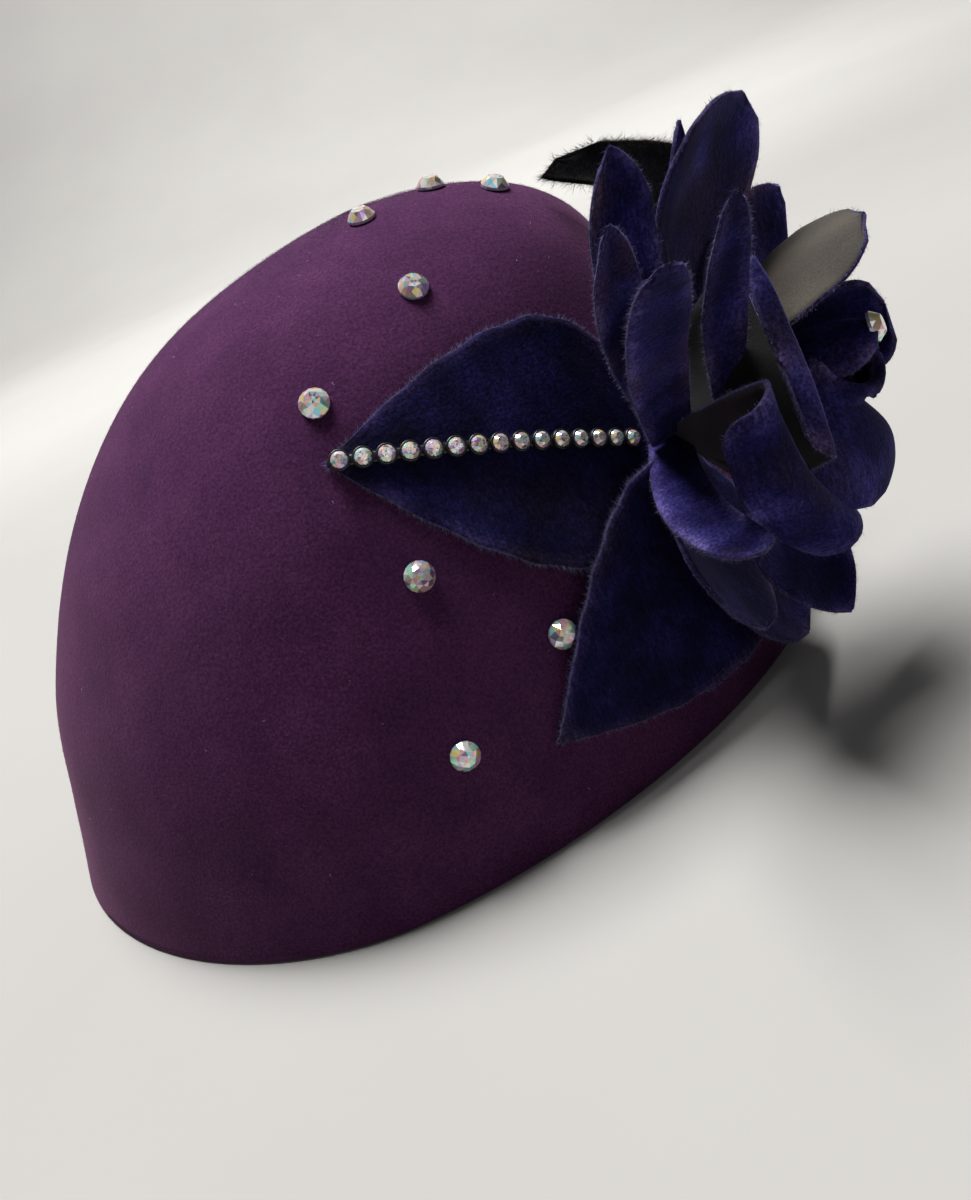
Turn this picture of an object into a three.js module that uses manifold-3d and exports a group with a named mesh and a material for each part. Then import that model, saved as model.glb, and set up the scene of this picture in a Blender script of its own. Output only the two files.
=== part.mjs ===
// A blocked wool felt hat with a velvet rose, two velvet leaves and cut stones.
// Millimetres. The rim lies on Z = 0, +Z is up and +X is the front of the hat.
import * as THREE from "three";
import { mergeVertices } from "three/addons/utils/BufferGeometryUtils.js";
import Module from "manifold-3d";

const wasm = await Module();
wasm.setup();

// The felt crown
const RIM_LENGTH = 248;
const RIM_WIDTH = 198;
const CROWN_HEIGHT = 143;
const FELT = 2.2;
const WIDEST = 0.42;
const BLUNT_BACK = 1.8;
const BLUNT_FRONT = 1.75;

// The velvet rose: its root on the crown, the way it faces and its size
const ROSE_AROUND = 323;
const ROSE_UP_CROWN = 0.392;
const ROSE_SUNK = 4.7;
const ROSE_AZIMUTH = -28;
const ROSE_TILT = 11;
const ROSE_RADIUS = 70;
const ROSE_DEPTH = 60;
const PETAL_WIDTH = 56;
const VELVET = 1.1;
const CORE_ROOT_RADIUS = 4;
const CORE_TIP_RADIUS = 3;
const CORE_LENGTH = 1;

// The leaves
const LEAF_WIDTH = 59;
const LEAF_REST = 0.45;
const LEAF_CURL = 2;
const LEAF_OVERLAP = 4;

// Stones and the stone chain
const STONE = 7.2;
const STONE_DEPTH = 2.6;
const STONE_SIDES = 16;
const CHAIN_STONE = 4;
const CHAIN_STONE_DEPTH = 1.6;
const CHAIN_STONE_SIDES = 8;
const CHAIN_COUNT = 15;
const CHAIN_MARGIN = 2.5;
const BAND_WIDTH = 2.4;
const BAND_CUP = 4.6;
const BAND_THICK = 1;

// Pieces that touch on the real hat keep this gap
const CLEARANCE = 0.3;

// How finely each piece is divided
const CROWN_COLUMNS = 36;
const CROWN_RINGS = 14;
const PETAL_ACROSS = 6;
const PETAL_ALONG = 8;
const LIP_STEPS = 3;
const LEAF_ACROSS = 6;
const LEAF_ALONG = 10;

// Sections of the crown from the rim to the top. rise is a share of CROWN_HEIGHT, lean and reach
// are shares of RIM_LENGTH and side is a share of RIM_WIDTH.
const CROWN_ROWS = [
  { rise: 0.0, lean: 0.0, reach: 1.0, side: 1.0 },
  { rise: 0.2, lean: 0.015, reach: 0.938, side: 0.978 },
  { rise: 0.41, lean: 0.023, reach: 0.853, side: 0.9 },
  { rise: 0.665, lean: 0.051, reach: 0.7, side: 0.741 },
  { rise: 0.86, lean: 0.092, reach: 0.522, side: 0.531 },
  { rise: 0.962, lean: 0.12, reach: 0.295, side: 0.274 },
  { rise: 1.0, lean: 0.139, reach: 0.0, side: 0.0 },
];

// One row for each petal, the front ones first. around is degrees about the rose's axis. Out, bow
// and sway are shares of ROSE_RADIUS, up is a share of ROSE_DEPTH, width and lip are shares of
// PETAL_WIDTH. facing, cup, roll and lipTurn are degrees. point runs from a square to a sharp tip,
// rootWidth is a share of the petal's width and widest a share of its length.
const PETAL_COLUMNS = [
  "name", "rootAround", "rootOut", "rootUp", "tipAround", "tipOut", "tipUp",
  "bow", "sway", "facing", "width", "cup", "roll", "point", "rootWidth", "widest", "lip", "lipTurn",
];
const PETAL_ROWS = [
  ["petal_near_upper", 85, 0.1, 0.19, 51, 1.03, 0.72, 0.02, 0.02, 72, 0.25, 20, 40, -0.3, 0.75, 0.62, 0, 0],
  ["petal_near_lower", 95, 0.06, 0.16, 106, 0.77, 0.55, 0.02, -0.08, -80, 0.23, 20, 40, -0.2, 0.8, 0.6, 0, 0],
  ["petal_narrow", 78, 0.14, 0.45, 37, 0.85, 0.92, 0.04, 0, 70, 0.18, 30, 20, 0.3, 0.5, 0.45, 0, 0],
  ["petal_low_rolled", 115, 0.07, 0.2, 112, 0.41, 0.68, 0.04, 0, 0, 0.86, 25, 10, -1, 0.15, 0.8, 0.36, 150],
  ["petal_wide_rolled", 80, 0.06, 0.25, 64, 0.28, 0.8, 0.04, 0, 0, 0.82, -6, 10, -2, 0.24, 0.7, 0.12, 145],
  ["petal_wrap", 150, 0.11, 0.82, 158, 0.49, 0.78, -0.04, 0, -20, 0.75, -20, 20, -0.6, 0.24, 0.6, 0, 0],
  ["petal_centre", 25, 0.03, 0.5, 25, 0.04, 1.03, 0.05, 0, 0, 0.36, 60, 10, 0, 0.24, 0.6, 0, 0],
  ["petal_heart", 182, 0.25, 0.62, 150, 0.13, 0.92, 0.03, 0, 0, 0.58, 85, 0, -2, 0.24, 0.6, 0.07, 150],
  ["petal_inner_back", -100, 0.08, 0.55, -88, 0.25, 1.03, 0.03, 0, 0, 0.5, 70, 10, -0.8, 0.24, 0.6, 0, 0],
  ["petal_tongue", 10, 0.07, 0.35, -5, 0.35, 1.13, 0.06, -0.06, -20, 0.6, 35, 30, 0, 0.24, 0.6, 0, 0],
  ["petal_lower_front", 160, 0.09, 0.5, 168, 0.84, 0.52, 0.09, 0, -20, 0.64, 20, 20, 0.7, 0.24, 0.6, 0, 0],
  ["petal_left_fold", 55, 0.17, 0.16, 42, 1.06, 0.6, 0.04, 0, 60, 0.2, 20, 20, 0.5, 0.24, 0.6, 0, 0],
  ["petal_left", 15, 0.05, 0.15, 22, 1, 0.6, -0.06, 0.07, 50, 0.29, 20, 20, 0.7, 0.32, 0.8, 0, 0],
  ["petal_right", -45, 0.07, 0.4, -61, 0.87, 0.76, 0.06, 0, 10, 0.5, 20, 20, 0.6, 0.24, 0.6, 0, 0],
  ["petal_tall", -30, 0.09, 0.3, -29, 0.91, 0.86, 0.1, 0.05, 0, 0.82, 25, 20, 0.1, 0.24, 0.6, 0, 0],
  ["petal_behind", -20, 0.07, 0.25, -14, 0.87, 0.67, 0.03, 0, 0, 0.36, 20, 20, 0.8, 0.24, 0.6, 0, 0],
  ["petal_lower_near", 140, 0.11, 0.13, 148, 0.77, 0.27, 0.04, 0, 0, 0.79, 20, 20, 0.3, 0.24, 0.6, 0, 0],
  ["petal_lower", 170, 0.09, 0.17, 172, 0.89, 0.3, 0.09, 0, 0, 0.79, 20, 20, 0.2, 0.24, 0.6, 0, 0],
  ["leaf_back", -60, 0.5, 0.15, -29, 1.06, 0.07, 0, -0.4, 40, 0.42, 10, 0, -2, 0.24, 0.45, 0, 0],
];

// Leaves that lie on the felt, each from a root to a tip. around is degrees about the crown, upCrown
// a share of the way up its wall, and width a share of LEAF_WIDTH. rootWidth is a share of the
// leaf's width and widest a share of its length. A leaf with a lift of 1 starts LEAF_OVERLAP higher,
// over the leaf before it.
const LEAF_COLUMNS = [
  "name", "around", "upCrown", "tipAround", "tipUpCrown", "width", "rootWidth", "widest", "lift",
];
const LEAF_ROWS = [
  ["leaf_front", 321, 0.392, 275, 0.542, 1, 0.55, 0.33, 0],
  ["leaf_low", 323.5, 0.265, 292.5, 0.158, 0.95, 0.85, 0.24, 1],
];

// Where the large stones sit on the felt, in the same terms
const STONE_ROWS = [
  { around: 289, upCrown: 0.908 },
  { around: 343, upCrown: 0.792 },
  { around: 345, upCrown: 0.892 },
  { around: 295, upCrown: 0.692 },
  { around: 273, upCrown: 0.608 },
  { around: 285, upCrown: 0.408 },
  { around: 298, upCrown: 0.277 },
  { around: 283, upCrown: 0.208 },
];

const velvet = new THREE.MeshStandardMaterial({ color: 0x2b2850, roughness: 0.95, metalness: 0 });
const felt = new THREE.MeshStandardMaterial({ color: 0x4f2d4c, roughness: 1, metalness: 0 });
const backing = new THREE.MeshStandardMaterial({ color: 0x3a352f, roughness: 0.9, metalness: 0 });
const crystal = new THREE.MeshStandardMaterial({ color: 0xd8e4ee, roughness: 0.05, metalness: 0 });
const black = new THREE.MeshStandardMaterial({ color: 0x0c0c0e, roughness: 0.4, metalness: 0.2 });

const radians = THREE.MathUtils.degToRad;
const signedPower = (value, power) => Math.sign(value) * Math.abs(value) ** power;

// The rows of a table as objects with a value for each named column
function namedRows(columns, rows) {
  return rows.map((row) => Object.fromEntries(columns.map((column, index) => [column, row[index]])));
}
const petals = namedRows(PETAL_COLUMNS, PETAL_ROWS);
const leaves = namedRows(LEAF_COLUMNS, LEAF_ROWS);

// A smooth curve through one column of the crown table, at a share from 0 (rim) to 1 (top)
function crownValue(column, share) {
  const values = CROWN_ROWS.map((row) => row[column]);
  const last = values.length - 1;
  const past = column === "reach" || column === "side" ? -values[last - 1] : values[last - 1];
  const knots = [2 * values[0] - values[1], ...values, past];
  const place = Math.min(Math.max(share, 0), 1) * last;
  const index = Math.min(Math.floor(place), last - 1);
  const t = place - index;
  const [a, b, c, d] = knots.slice(index, index + 4);
  const bend = 2 * a - 5 * b + 4 * c - d;
  return 0.5 * (2 * b + (c - a) * t + bend * t * t + (3 * b - a - 3 * c + d) * t ** 3);
}

// One level section of the crown, grown or shrunk all round
function crownSection(share, grow) {
  const length = RIM_LENGTH + 2 * grow;
  const halfLength = (crownValue("reach", share) * length) / 2;
  return {
    middle: crownValue("lean", share) * length - halfLength + 2 * halfLength * WIDEST,
    back: 2 * halfLength * WIDEST,
    front: 2 * halfLength * (1 - WIDEST),
    side: (crownValue("side", share) * (RIM_WIDTH + 2 * grow)) / 2,
    height: crownValue("rise", share) * (CROWN_HEIGHT + grow),
  };
}

// A point on the crown's outside, at degrees around it and a share of the way up
function crownPoint(around, share, grow = 0) {
  const section = crownSection(share, grow);
  const cosine = Math.cos(radians(around));
  const blunt = cosine < 0 ? BLUNT_BACK : BLUNT_FRONT;
  const reach = cosine < 0 ? section.back : section.front;
  return new THREE.Vector3(
    section.middle + reach * signedPower(cosine, 2 / blunt),
    section.side * signedPower(Math.sin(radians(around)), 2 / blunt),
    section.height,
  );
}

// The outward direction of the felt at a place on the crown
function crownNormal(around, share) {
  const step = 0.01;
  const along = crownPoint(around + 1, share).sub(crownPoint(around - 1, share));
  const upward = crownPoint(around, share + step).sub(crownPoint(around, share - step));
  return along.cross(upward).normalize();
}

// True where a point lies inside the crown's outer form
function insideCrown(point, grow) {
  if (point.z < 0) return true;
  let low = 0;
  let high = 1;
  if (point.z >= crownSection(high, grow).height) return false;
  for (let step = 0; step < 24; step += 1) {
    const middle = (low + high) / 2;
    if (crownSection(middle, grow).height < point.z) low = middle;
    else high = middle;
  }
  const section = crownSection(low, grow);
  const offset = point.x - section.middle;
  const blunt = offset < 0 ? BLUNT_BACK : BLUNT_FRONT;
  const reach = offset < 0 ? section.back : section.front;
  return Math.abs(offset / reach) ** blunt + Math.abs(point.y / section.side) ** blunt < 1;
}

// Drops a point against a direction until it meets the crown's outer form
function dropOntoCrown(point, outward, grow) {
  const start = point.clone().addScaledVector(outward, RIM_WIDTH / 2);
  let outside = 0;
  let inside = RIM_WIDTH;
  for (let step = 0; step < 30; step += 1) {
    const middle = (outside + inside) / 2;
    const tried = start.clone().addScaledVector(outward, -middle);
    if (insideCrown(tried, grow)) inside = middle;
    else outside = middle;
  }
  return start.addScaledVector(outward, -outside);
}

// A geometry from points and triangles, given as rows of three indices
function geometryFrom(points, triangles) {
  const geometry = new THREE.BufferGeometry();
  const numbers = points.flatMap((point) => [point.x, point.y, point.z]);
  geometry.setAttribute("position", new THREE.Float32BufferAttribute(numbers, 3));
  geometry.setIndex(triangles.flat());
  return geometry;
}

// The two triangles of a four-sided face
const quad = (a, b, c, d) => [[a, b, c], [a, c, d]];

// Rings of the crown's form from the rim up, with one point at the top
function crownRings(grow) {
  const points = [];
  for (let ring = 0; ring < CROWN_RINGS; ring += 1) {
    for (let column = 0; column < CROWN_COLUMNS; column += 1) {
      points.push(crownPoint((column * 360) / CROWN_COLUMNS, ring / CROWN_RINGS, grow));
    }
  }
  points.push(crownPoint(0, 1, grow));
  return points;
}

// Triangles over such rings, facing out
function crownFaces(first) {
  const faces = [];
  const top = first + CROWN_RINGS * CROWN_COLUMNS;
  for (let ring = 0; ring < CROWN_RINGS; ring += 1) {
    for (let column = 0; column < CROWN_COLUMNS; column += 1) {
      const next = (column + 1) % CROWN_COLUMNS;
      const low = first + ring * CROWN_COLUMNS;
      const high = low + CROWN_COLUMNS;
      if (ring === CROWN_RINGS - 1) faces.push([low + column, low + next, top]);
      else faces.push(...quad(low + column, low + next, high + next, high + column));
    }
  }
  return faces;
}

// The felt shell: an outside, an inside and the flat rim between them
function feltCrown() {
  const outside = crownRings(0);
  const inside = crownRings(-FELT);
  const faces = crownFaces(0);
  for (const [a, b, c] of crownFaces(outside.length)) faces.push([a, c, b]);
  for (let column = 0; column < CROWN_COLUMNS; column += 1) {
    const next = (column + 1) % CROWN_COLUMNS;
    faces.push(...quad(next, column, outside.length + column, outside.length + next));
  }
  return geometryFrom([...outside, ...inside], faces);
}

// The crown's whole form as one block, which trims what lies against the felt
function crownBlock() {
  const points = crownRings(CLEARANCE);
  const faces = crownFaces(0);
  const middle = points.length;
  points.push(new THREE.Vector3(0, 0, 0));
  for (let column = 0; column < CROWN_COLUMNS; column += 1) {
    faces.push([middle, (column + 1) % CROWN_COLUMNS, column]);
  }
  return geometryFrom(points, faces);
}

// The rose's own directions: along its axis, up and towards its near side
const roseAxis = new THREE.Vector3(
  Math.cos(radians(ROSE_AZIMUTH)) * Math.cos(radians(ROSE_TILT)),
  Math.sin(radians(ROSE_AZIMUTH)) * Math.cos(radians(ROSE_TILT)),
  Math.sin(radians(ROSE_TILT)),
);
const roseUp = new THREE.Vector3(0, 0, 1).addScaledVector(roseAxis, -roseAxis.z).normalize();
const roseNear = roseAxis.clone().cross(roseUp);
const roseRoot = crownPoint(ROSE_AROUND, ROSE_UP_CROWN).addScaledVector(roseAxis, -ROSE_SUNK);

// A direction square to the rose's axis, at degrees around it
function roseDirection(around) {
  const up = roseUp.clone().multiplyScalar(Math.cos(radians(around)));
  return up.addScaledVector(roseNear, Math.sin(radians(around)));
}

// A place in the rose, from shares of its radius and depth
function rosePlace(around, out, up) {
  const place = roseRoot.clone().addScaledVector(roseAxis, up * ROSE_DEPTH);
  return place.addScaledVector(roseDirection(around), out * ROSE_RADIUS);
}

// Half the width of a petal, as a share, at a share of its length
function petalHalfWidth(share, petal) {
  const { widest, rootWidth } = petal;
  if (share < widest) return rootWidth + (1 - rootWidth) * Math.sin((Math.PI / 2) * (share / widest));
  const power = 2.6 - 1.4 * petal.point;
  const past = (share - widest) / (1 - widest);
  return Math.max((1 - past ** power) ** (1 / Math.max(1, power * 0.85)), 0.03);
}

// The middle line of a petal: a bowed and swayed chord, then a lip that turns away from the face
function petalSpine(petal, root, chord, face, across) {
  const lipSteps = petal.lip ? LIP_STEPS : 0;
  const bodySteps = PETAL_ALONG - lipSteps;
  const spine = [];
  for (let step = 0; step <= bodySteps; step += 1) {
    const share = step / bodySteps;
    const swell = Math.sin(Math.PI * share) * ROSE_RADIUS;
    const place = root.clone().addScaledVector(chord, share);
    place.addScaledVector(face, -petal.bow * swell);
    spine.push(place.addScaledVector(across, petal.sway * swell));
  }
  const end = spine[bodySteps].clone().sub(spine[bodySteps - 1]).normalize();
  const outward = face.clone().addScaledVector(end, -face.dot(end)).normalize();
  for (let step = 1; step <= lipSteps; step += 1) {
    const turn = radians(petal.lipTurn) * Math.min(1, (1.3 * step) / lipSteps);
    const length = (petal.lip * PETAL_WIDTH) / lipSteps;
    const place = spine[spine.length - 1].clone();
    place.addScaledVector(end, Math.cos(turn) * length);
    spine.push(place.addScaledVector(outward, -Math.sin(turn) * length));
  }
  return spine;
}

// The points across a petal as shares of its half width, cupped, with margins rolled back
function petalAcross(petal) {
  const step = 2 / PETAL_ACROSS;
  const angleAt = (u) => radians(petal.cup) * u - radians(petal.roll) * signedPower(u, 3);
  const points = [{ side: 0, height: 0 }];
  for (let column = 1; column <= PETAL_ACROSS; column += 1) {
    const before = angleAt(-1 + (column - 1) * step);
    const after = angleAt(-1 + column * step);
    const last = points[column - 1];
    points.push({
      side: last.side + (step * (Math.cos(before) + Math.cos(after))) / 2,
      height: last.height + (step * (Math.sin(before) + Math.sin(after))) / 2,
    });
  }
  const middle = points[PETAL_ACROSS / 2];
  return points.map(({ side, height }) => [side - middle.side, height - middle.height]);
}

// The middle surface of a petal as rows of points from its root to its tip
function petalGrid(petal) {
  const root = rosePlace(petal.rootAround, petal.rootOut, petal.rootUp);
  const chord = rosePlace(petal.tipAround, petal.tipOut, petal.tipUp).sub(root);
  const along = chord.clone().normalize();
  const away = roseDirection(petal.tipAround);
  const open = Math.atan2(along.dot(away), along.dot(roseAxis));
  const inward = roseAxis.clone().multiplyScalar(Math.sin(open)).addScaledVector(away, -Math.cos(open));
  inward.addScaledVector(along, -inward.dot(along)).normalize();
  const face = inward.clone().applyAxisAngle(along, -radians(petal.facing));
  const across = face.clone().cross(along);
  const spine = petalSpine(petal, root, chord, face, across);
  const profile = petalAcross(petal);
  const runs = [0];
  for (let row = 1; row < spine.length; row += 1) {
    runs.push(runs[row - 1] + spine[row].distanceTo(spine[row - 1]));
  }
  return spine.map((place, row) => {
    const share = runs[row] / runs[runs.length - 1];
    const half = (petalHalfWidth(share, petal) * petal.width * PETAL_WIDTH) / 2;
    const ahead = spine[Math.min(row + 1, spine.length - 1)];
    const tangent = ahead.clone().sub(spine[Math.max(row - 1, 0)]).normalize();
    const rise = petal.lip ? face : tangent.clone().cross(across);
    return profile.map(([side, height]) => {
      const point = place.clone().addScaledVector(across, half * side);
      return point.addScaledVector(rise, half * height);
    });
  });
}

// Where a leaf lies: its root, its chord, the way out of the felt and the way across
function leafFrame(leaf) {
  const root = crownPoint(leaf.around, leaf.upCrown);
  const chord = crownPoint(leaf.tipAround, leaf.tipUpCrown).sub(root);
  const outward = crownNormal(leaf.around, leaf.upCrown);
  outward.add(crownNormal(leaf.tipAround, leaf.tipUpCrown));
  outward.addScaledVector(chord, -outward.dot(chord) / chord.lengthSq()).normalize();
  return { root, chord, outward, across: outward.clone().cross(chord).normalize() };
}

// A point over the felt at a share of a leaf's length, some way to its side and off the crown
function overLeaf(frame, share, sideways, height) {
  const flat = frame.root.clone().addScaledVector(frame.chord, share);
  return dropOntoCrown(flat.addScaledVector(frame.across, sideways), frame.outward, height);
}

// The middle surface of a leaf that lies on the crown
function leafGrid(leaf) {
  const frame = leafFrame(leaf);
  return Array.from({ length: LEAF_ALONG + 1 }, (_, row) => {
    const share = row / LEAF_ALONG;
    const half = (leafHalfWidth(share, leaf) * leaf.width * LEAF_WIDTH) / 2;
    return Array.from({ length: LEAF_ACROSS + 1 }, (__, column) => {
      const sideways = (-1 + (2 * column) / LEAF_ACROSS) * half;
      const curl = LEAF_CURL * ((2 * sideways) / LEAF_WIDTH) ** 2;
      const lift = leaf.lift * LEAF_OVERLAP * (1 - share) ** 0.5;
      return overLeaf(frame, share, sideways, LEAF_REST + VELVET / 2 + curl + lift);
    });
  });
}

// Half the width of a lying leaf, as a share, at a share of its length
function leafHalfWidth(share, leaf) {
  const { rootWidth, widest } = leaf;
  if (share < widest) return rootWidth + (1 - rootWidth) * Math.sin((Math.PI / 2) * (share / widest));
  return Math.max(1 - ((share - widest) / (1 - widest)) ** 1.6, 0.02);
}

// Directions square to a surface given as rows of points
function gridNormals(grid) {
  return grid.map((row, r) => row.map((point, c) => {
    const before = grid[Math.max(r - 1, 0)][c];
    const after = grid[Math.min(r + 1, grid.length - 1)][c];
    const left = row[Math.max(c - 1, 0)];
    const right = row[Math.min(c + 1, row.length - 1)];
    return right.clone().sub(left).cross(after.clone().sub(before)).normalize();
  }));
}

// Moves the margins of a surface outwards in its own plane
function widenGrid(grid, amount) {
  const lastRow = grid.length - 1;
  return grid.map((row, r) => row.map((point, c) => {
    const moved = point.clone();
    const lastColumn = row.length - 1;
    if (c === 0) moved.addScaledVector(point.clone().sub(row[1]).normalize(), amount);
    if (c === lastColumn) moved.addScaledVector(point.clone().sub(row[c - 1]).normalize(), amount);
    if (r === 0) moved.addScaledVector(point.clone().sub(grid[1][c]).normalize(), amount);
    if (r === lastRow) moved.addScaledVector(point.clone().sub(grid[r - 1][c]).normalize(), amount);
    return moved;
  }));
}

// A closed sheet of even thickness about a surface, grown all round where asked
function sheetGeometry(surface, thickness, grow = 0) {
  const grid = grow ? widenGrid(surface, grow) : surface;
  const normals = gridNormals(surface);
  const rows = grid.length;
  const columns = grid[0].length;
  const half = thickness / 2 + grow;
  const upper = grid.flatMap((row, r) => row.map((p, c) => p.clone().addScaledVector(normals[r][c], half)));
  const lower = grid.flatMap((row, r) => row.map((p, c) => p.clone().addScaledVector(normals[r][c], -half)));
  const at = (r, c) => r * columns + c;
  const under = rows * columns;
  const faces = [];
  for (let r = 0; r + 1 < rows; r += 1) {
    for (let c = 0; c + 1 < columns; c += 1) {
      const [a, b, d, e] = [at(r, c), at(r, c + 1), at(r + 1, c + 1), at(r + 1, c)];
      faces.push(...quad(a, b, d, e), ...quad(under + e, under + d, under + b, under + a));
    }
  }
  const rim = [];
  for (let c = 0; c + 1 < columns; c += 1) rim.push(at(0, c));
  for (let r = 0; r + 1 < rows; r += 1) rim.push(at(r, columns - 1));
  for (let c = columns - 1; c > 0; c -= 1) rim.push(at(rows - 1, c));
  for (let r = rows - 1; r > 0; r -= 1) rim.push(at(r, 0));
  rim.forEach((from, index) => {
    const to = rim[(index + 1) % rim.length];
    faces.push(...quad(from, under + from, under + to, to));
  });
  return geometryFrom([...upper, ...lower], faces);
}

// A flat-backed cut stone: a girdle, sixteen or eight facets and a table, rising along +Z
function stoneGeometry(width, depth, sides) {
  const girdle = depth * 0.25;
  const tableWidth = width * 0.56;
  const ring = (radius, height, count, turn) => Array.from({ length: count }, (_, index) => {
    const angle = ((index + turn) * 2 * Math.PI) / count;
    return new THREE.Vector3(radius * Math.cos(angle), radius * Math.sin(angle), height);
  });
  const tableSides = 8;
  const points = [
    ...ring(width / 2, 0, sides, 0),
    ...ring(width / 2, girdle, sides, 0),
    ...ring(tableWidth / 2, depth, tableSides, sides === tableSides ? 0.5 : 0),
    new THREE.Vector3(0, 0, 0),
    new THREE.Vector3(0, 0, depth),
  ];
  const table = 2 * sides;
  const bottom = table + tableSides;
  const top = bottom + 1;
  const faces = [];
  for (let index = 0; index < sides; index += 1) {
    const next = (index + 1) % sides;
    faces.push([bottom, next, index]);
    faces.push(...quad(index, next, sides + next, sides + index));
  }
  const share = sides / tableSides;
  for (let index = 0; index < tableSides; index += 1) {
    const next = (index + 1) % tableSides;
    faces.push([top, table + index, table + next]);
    const low = Array.from({ length: share + 1 }, (_, step) => sides + ((index * share + step) % sides));
    if (share === 1) {
      faces.push([low[0], low[1], table + index]);
      faces.push([low[1], table + next, table + index]);
    } else {
      faces.push([low[0], low[1], table + index]);
      faces.push([low[1], table + next, table + index]);
      faces.push([low[1], low[2], table + next]);
    }
  }
  return geometryFrom(points, faces);
}

// The middle surface of the chain's band, which swells to a cup under each stone
function bandGrid(frame, line, start, pitch, height) {
  const first = start - pitch / 3;
  return Array.from({ length: 3 * CHAIN_COUNT }, (_, step) => {
    const half = (step % 3 === 2 ? BAND_WIDTH : BAND_CUP) / 2;
    const run = first + (step * pitch) / 3 + pitch / 6;
    const share = 1 - line.getUtoTmapping(run / line.getLength());
    return [overLeaf(frame, share, -half, height), overLeaf(frame, share, half, height)];
  });
}

// A solid for joining and cutting, from a closed geometry
function solidFrom(geometry) {
  const bare = mergeVertices(new THREE.BufferGeometry().copy(geometry).deleteAttribute("normal"), 1e-5);
  return new wasm.Manifold(new wasm.Mesh({
    numProp: 3,
    vertProperties: Float32Array.from(bare.attributes.position.array),
    triVerts: Uint32Array.from(bare.index.array),
  }));
}

// The geometry of a solid's largest piece
function geometryOf(solid) {
  const pieces = solid.decompose();
  pieces.sort((a, b) => b.volume() - a.volume());
  const mesh = pieces[0].getMesh();
  const geometry = new THREE.BufferGeometry();
  geometry.setAttribute("position", new THREE.Float32BufferAttribute(mesh.vertProperties, 3));
  geometry.setIndex(Array.from(mesh.triVerts));
  return geometry;
}

const hat = new THREE.Group();

// Adds a named mesh to the hat
function addPiece(name, geometry, material) {
  const mesh = new THREE.Mesh(geometry, material);
  mesh.name = name;
  hat.add(mesh);
  return mesh;
}

// What the soft pieces are trimmed by, in the order in which they are laid
const trimmers = [solidFrom(crownBlock())];

// Stands a stone on a place, facing along a direction
function addStone(name, width, depth, sides, place, direction) {
  const mesh = addPiece(name, stoneGeometry(width, depth, sides), crystal);
  mesh.quaternion.setFromUnitVectors(new THREE.Vector3(0, 0, 1), direction);
  mesh.position.copy(place).addScaledVector(direction, CLEARANCE);
  const room = stoneGeometry(width + 2 * CLEARANCE, depth + 2 * CLEARANCE, sides);
  room.applyQuaternion(mesh.quaternion).translate(place.x, place.y, place.z);
  trimmers.push(solidFrom(room));
}

addPiece("felt_crown", feltCrown(), felt);

// The stitched middle of the rose, turned about its axis
function coreGeometry(grow) {
  const tip = CORE_LENGTH * ROSE_DEPTH + grow;
  const profile = [
    new THREE.Vector2(0, -grow),
    new THREE.Vector2(CORE_ROOT_RADIUS + grow, -grow),
    new THREE.Vector2(CORE_TIP_RADIUS + grow, tip),
    new THREE.Vector2(0, tip),
  ];
  const geometry = new THREE.LatheGeometry(profile, 12);
  geometry.deleteAttribute("uv");
  geometry.applyQuaternion(new THREE.Quaternion().setFromUnitVectors(new THREE.Vector3(0, 1, 0), roseAxis));
  return geometry.translate(roseRoot.x, roseRoot.y, roseRoot.z);
}
addPiece("rose_core", geometryOf(solidFrom(coreGeometry(0)).subtract(trimmers[0])), backing);
trimmers.push(solidFrom(coreGeometry(CLEARANCE)));
addStone("stone_rose", STONE, STONE_DEPTH, STONE_SIDES, rosePlace(350, 0.03, CORE_LENGTH), roseAxis);

// Lays a soft sheet, trimmed by all that was laid before it
function laySheet(name, grid, thickness, material) {
  let solid = solidFrom(sheetGeometry(grid, thickness));
  for (const trimmer of trimmers) solid = solid.subtract(trimmer);
  addPiece(name, geometryOf(solid), material);
  trimmers.push(solidFrom(sheetGeometry(grid, thickness, CLEARANCE)));
}

STONE_ROWS.forEach(({ around, upCrown }, index) => {
  const place = crownPoint(around, upCrown);
  addStone(`stone_crown_${index + 1}`, STONE, STONE_DEPTH, STONE_SIDES, place, crownNormal(around, upCrown));
});

for (const leaf of leaves) laySheet(leaf.name, leafGrid(leaf), VELVET, velvet);

// The chain runs down the front leaf from near its tip to the rose's core
function layChain(leaf) {
  const frame = leafFrame(leaf);
  const height = LEAF_REST + VELVET + CLEARANCE + BAND_THICK / 2;
  const midrib = Array.from({ length: LEAF_ALONG + 1 }, (_, row) => overLeaf(frame, 1 - row / LEAF_ALONG, 0, height));
  const line = new THREE.CatmullRomCurve3(midrib);
  const end = line.getLength() - CORE_ROOT_RADIUS - BAND_CUP / 2 - CLEARANCE;
  const pitch = (end - CHAIN_MARGIN) / (CHAIN_COUNT - 1);
  laySheet("chain_band", bandGrid(frame, line, CHAIN_MARGIN, pitch, height), BAND_THICK, black);
  for (let index = 0; index < CHAIN_COUNT; index += 1) {
    const share = 1 - line.getUtoTmapping((CHAIN_MARGIN + index * pitch) / line.getLength());
    const left = overLeaf(frame, share, -BAND_WIDTH / 2, height);
    const right = overLeaf(frame, share, BAND_WIDTH / 2, height);
    const along = line.getTangentAt((CHAIN_MARGIN + index * pitch) / line.getLength());
    const direction = right.clone().sub(left).cross(along).normalize();
    if (direction.dot(frame.outward) < 0) direction.negate();
    const place = left.add(right).multiplyScalar(0.5).addScaledVector(direction, BAND_THICK / 2);
    addStone(`chain_stone_${index + 1}`, CHAIN_STONE, CHAIN_STONE_DEPTH, CHAIN_STONE_SIDES, place, direction);
  }
}
layChain(leaves[0]);

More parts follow.
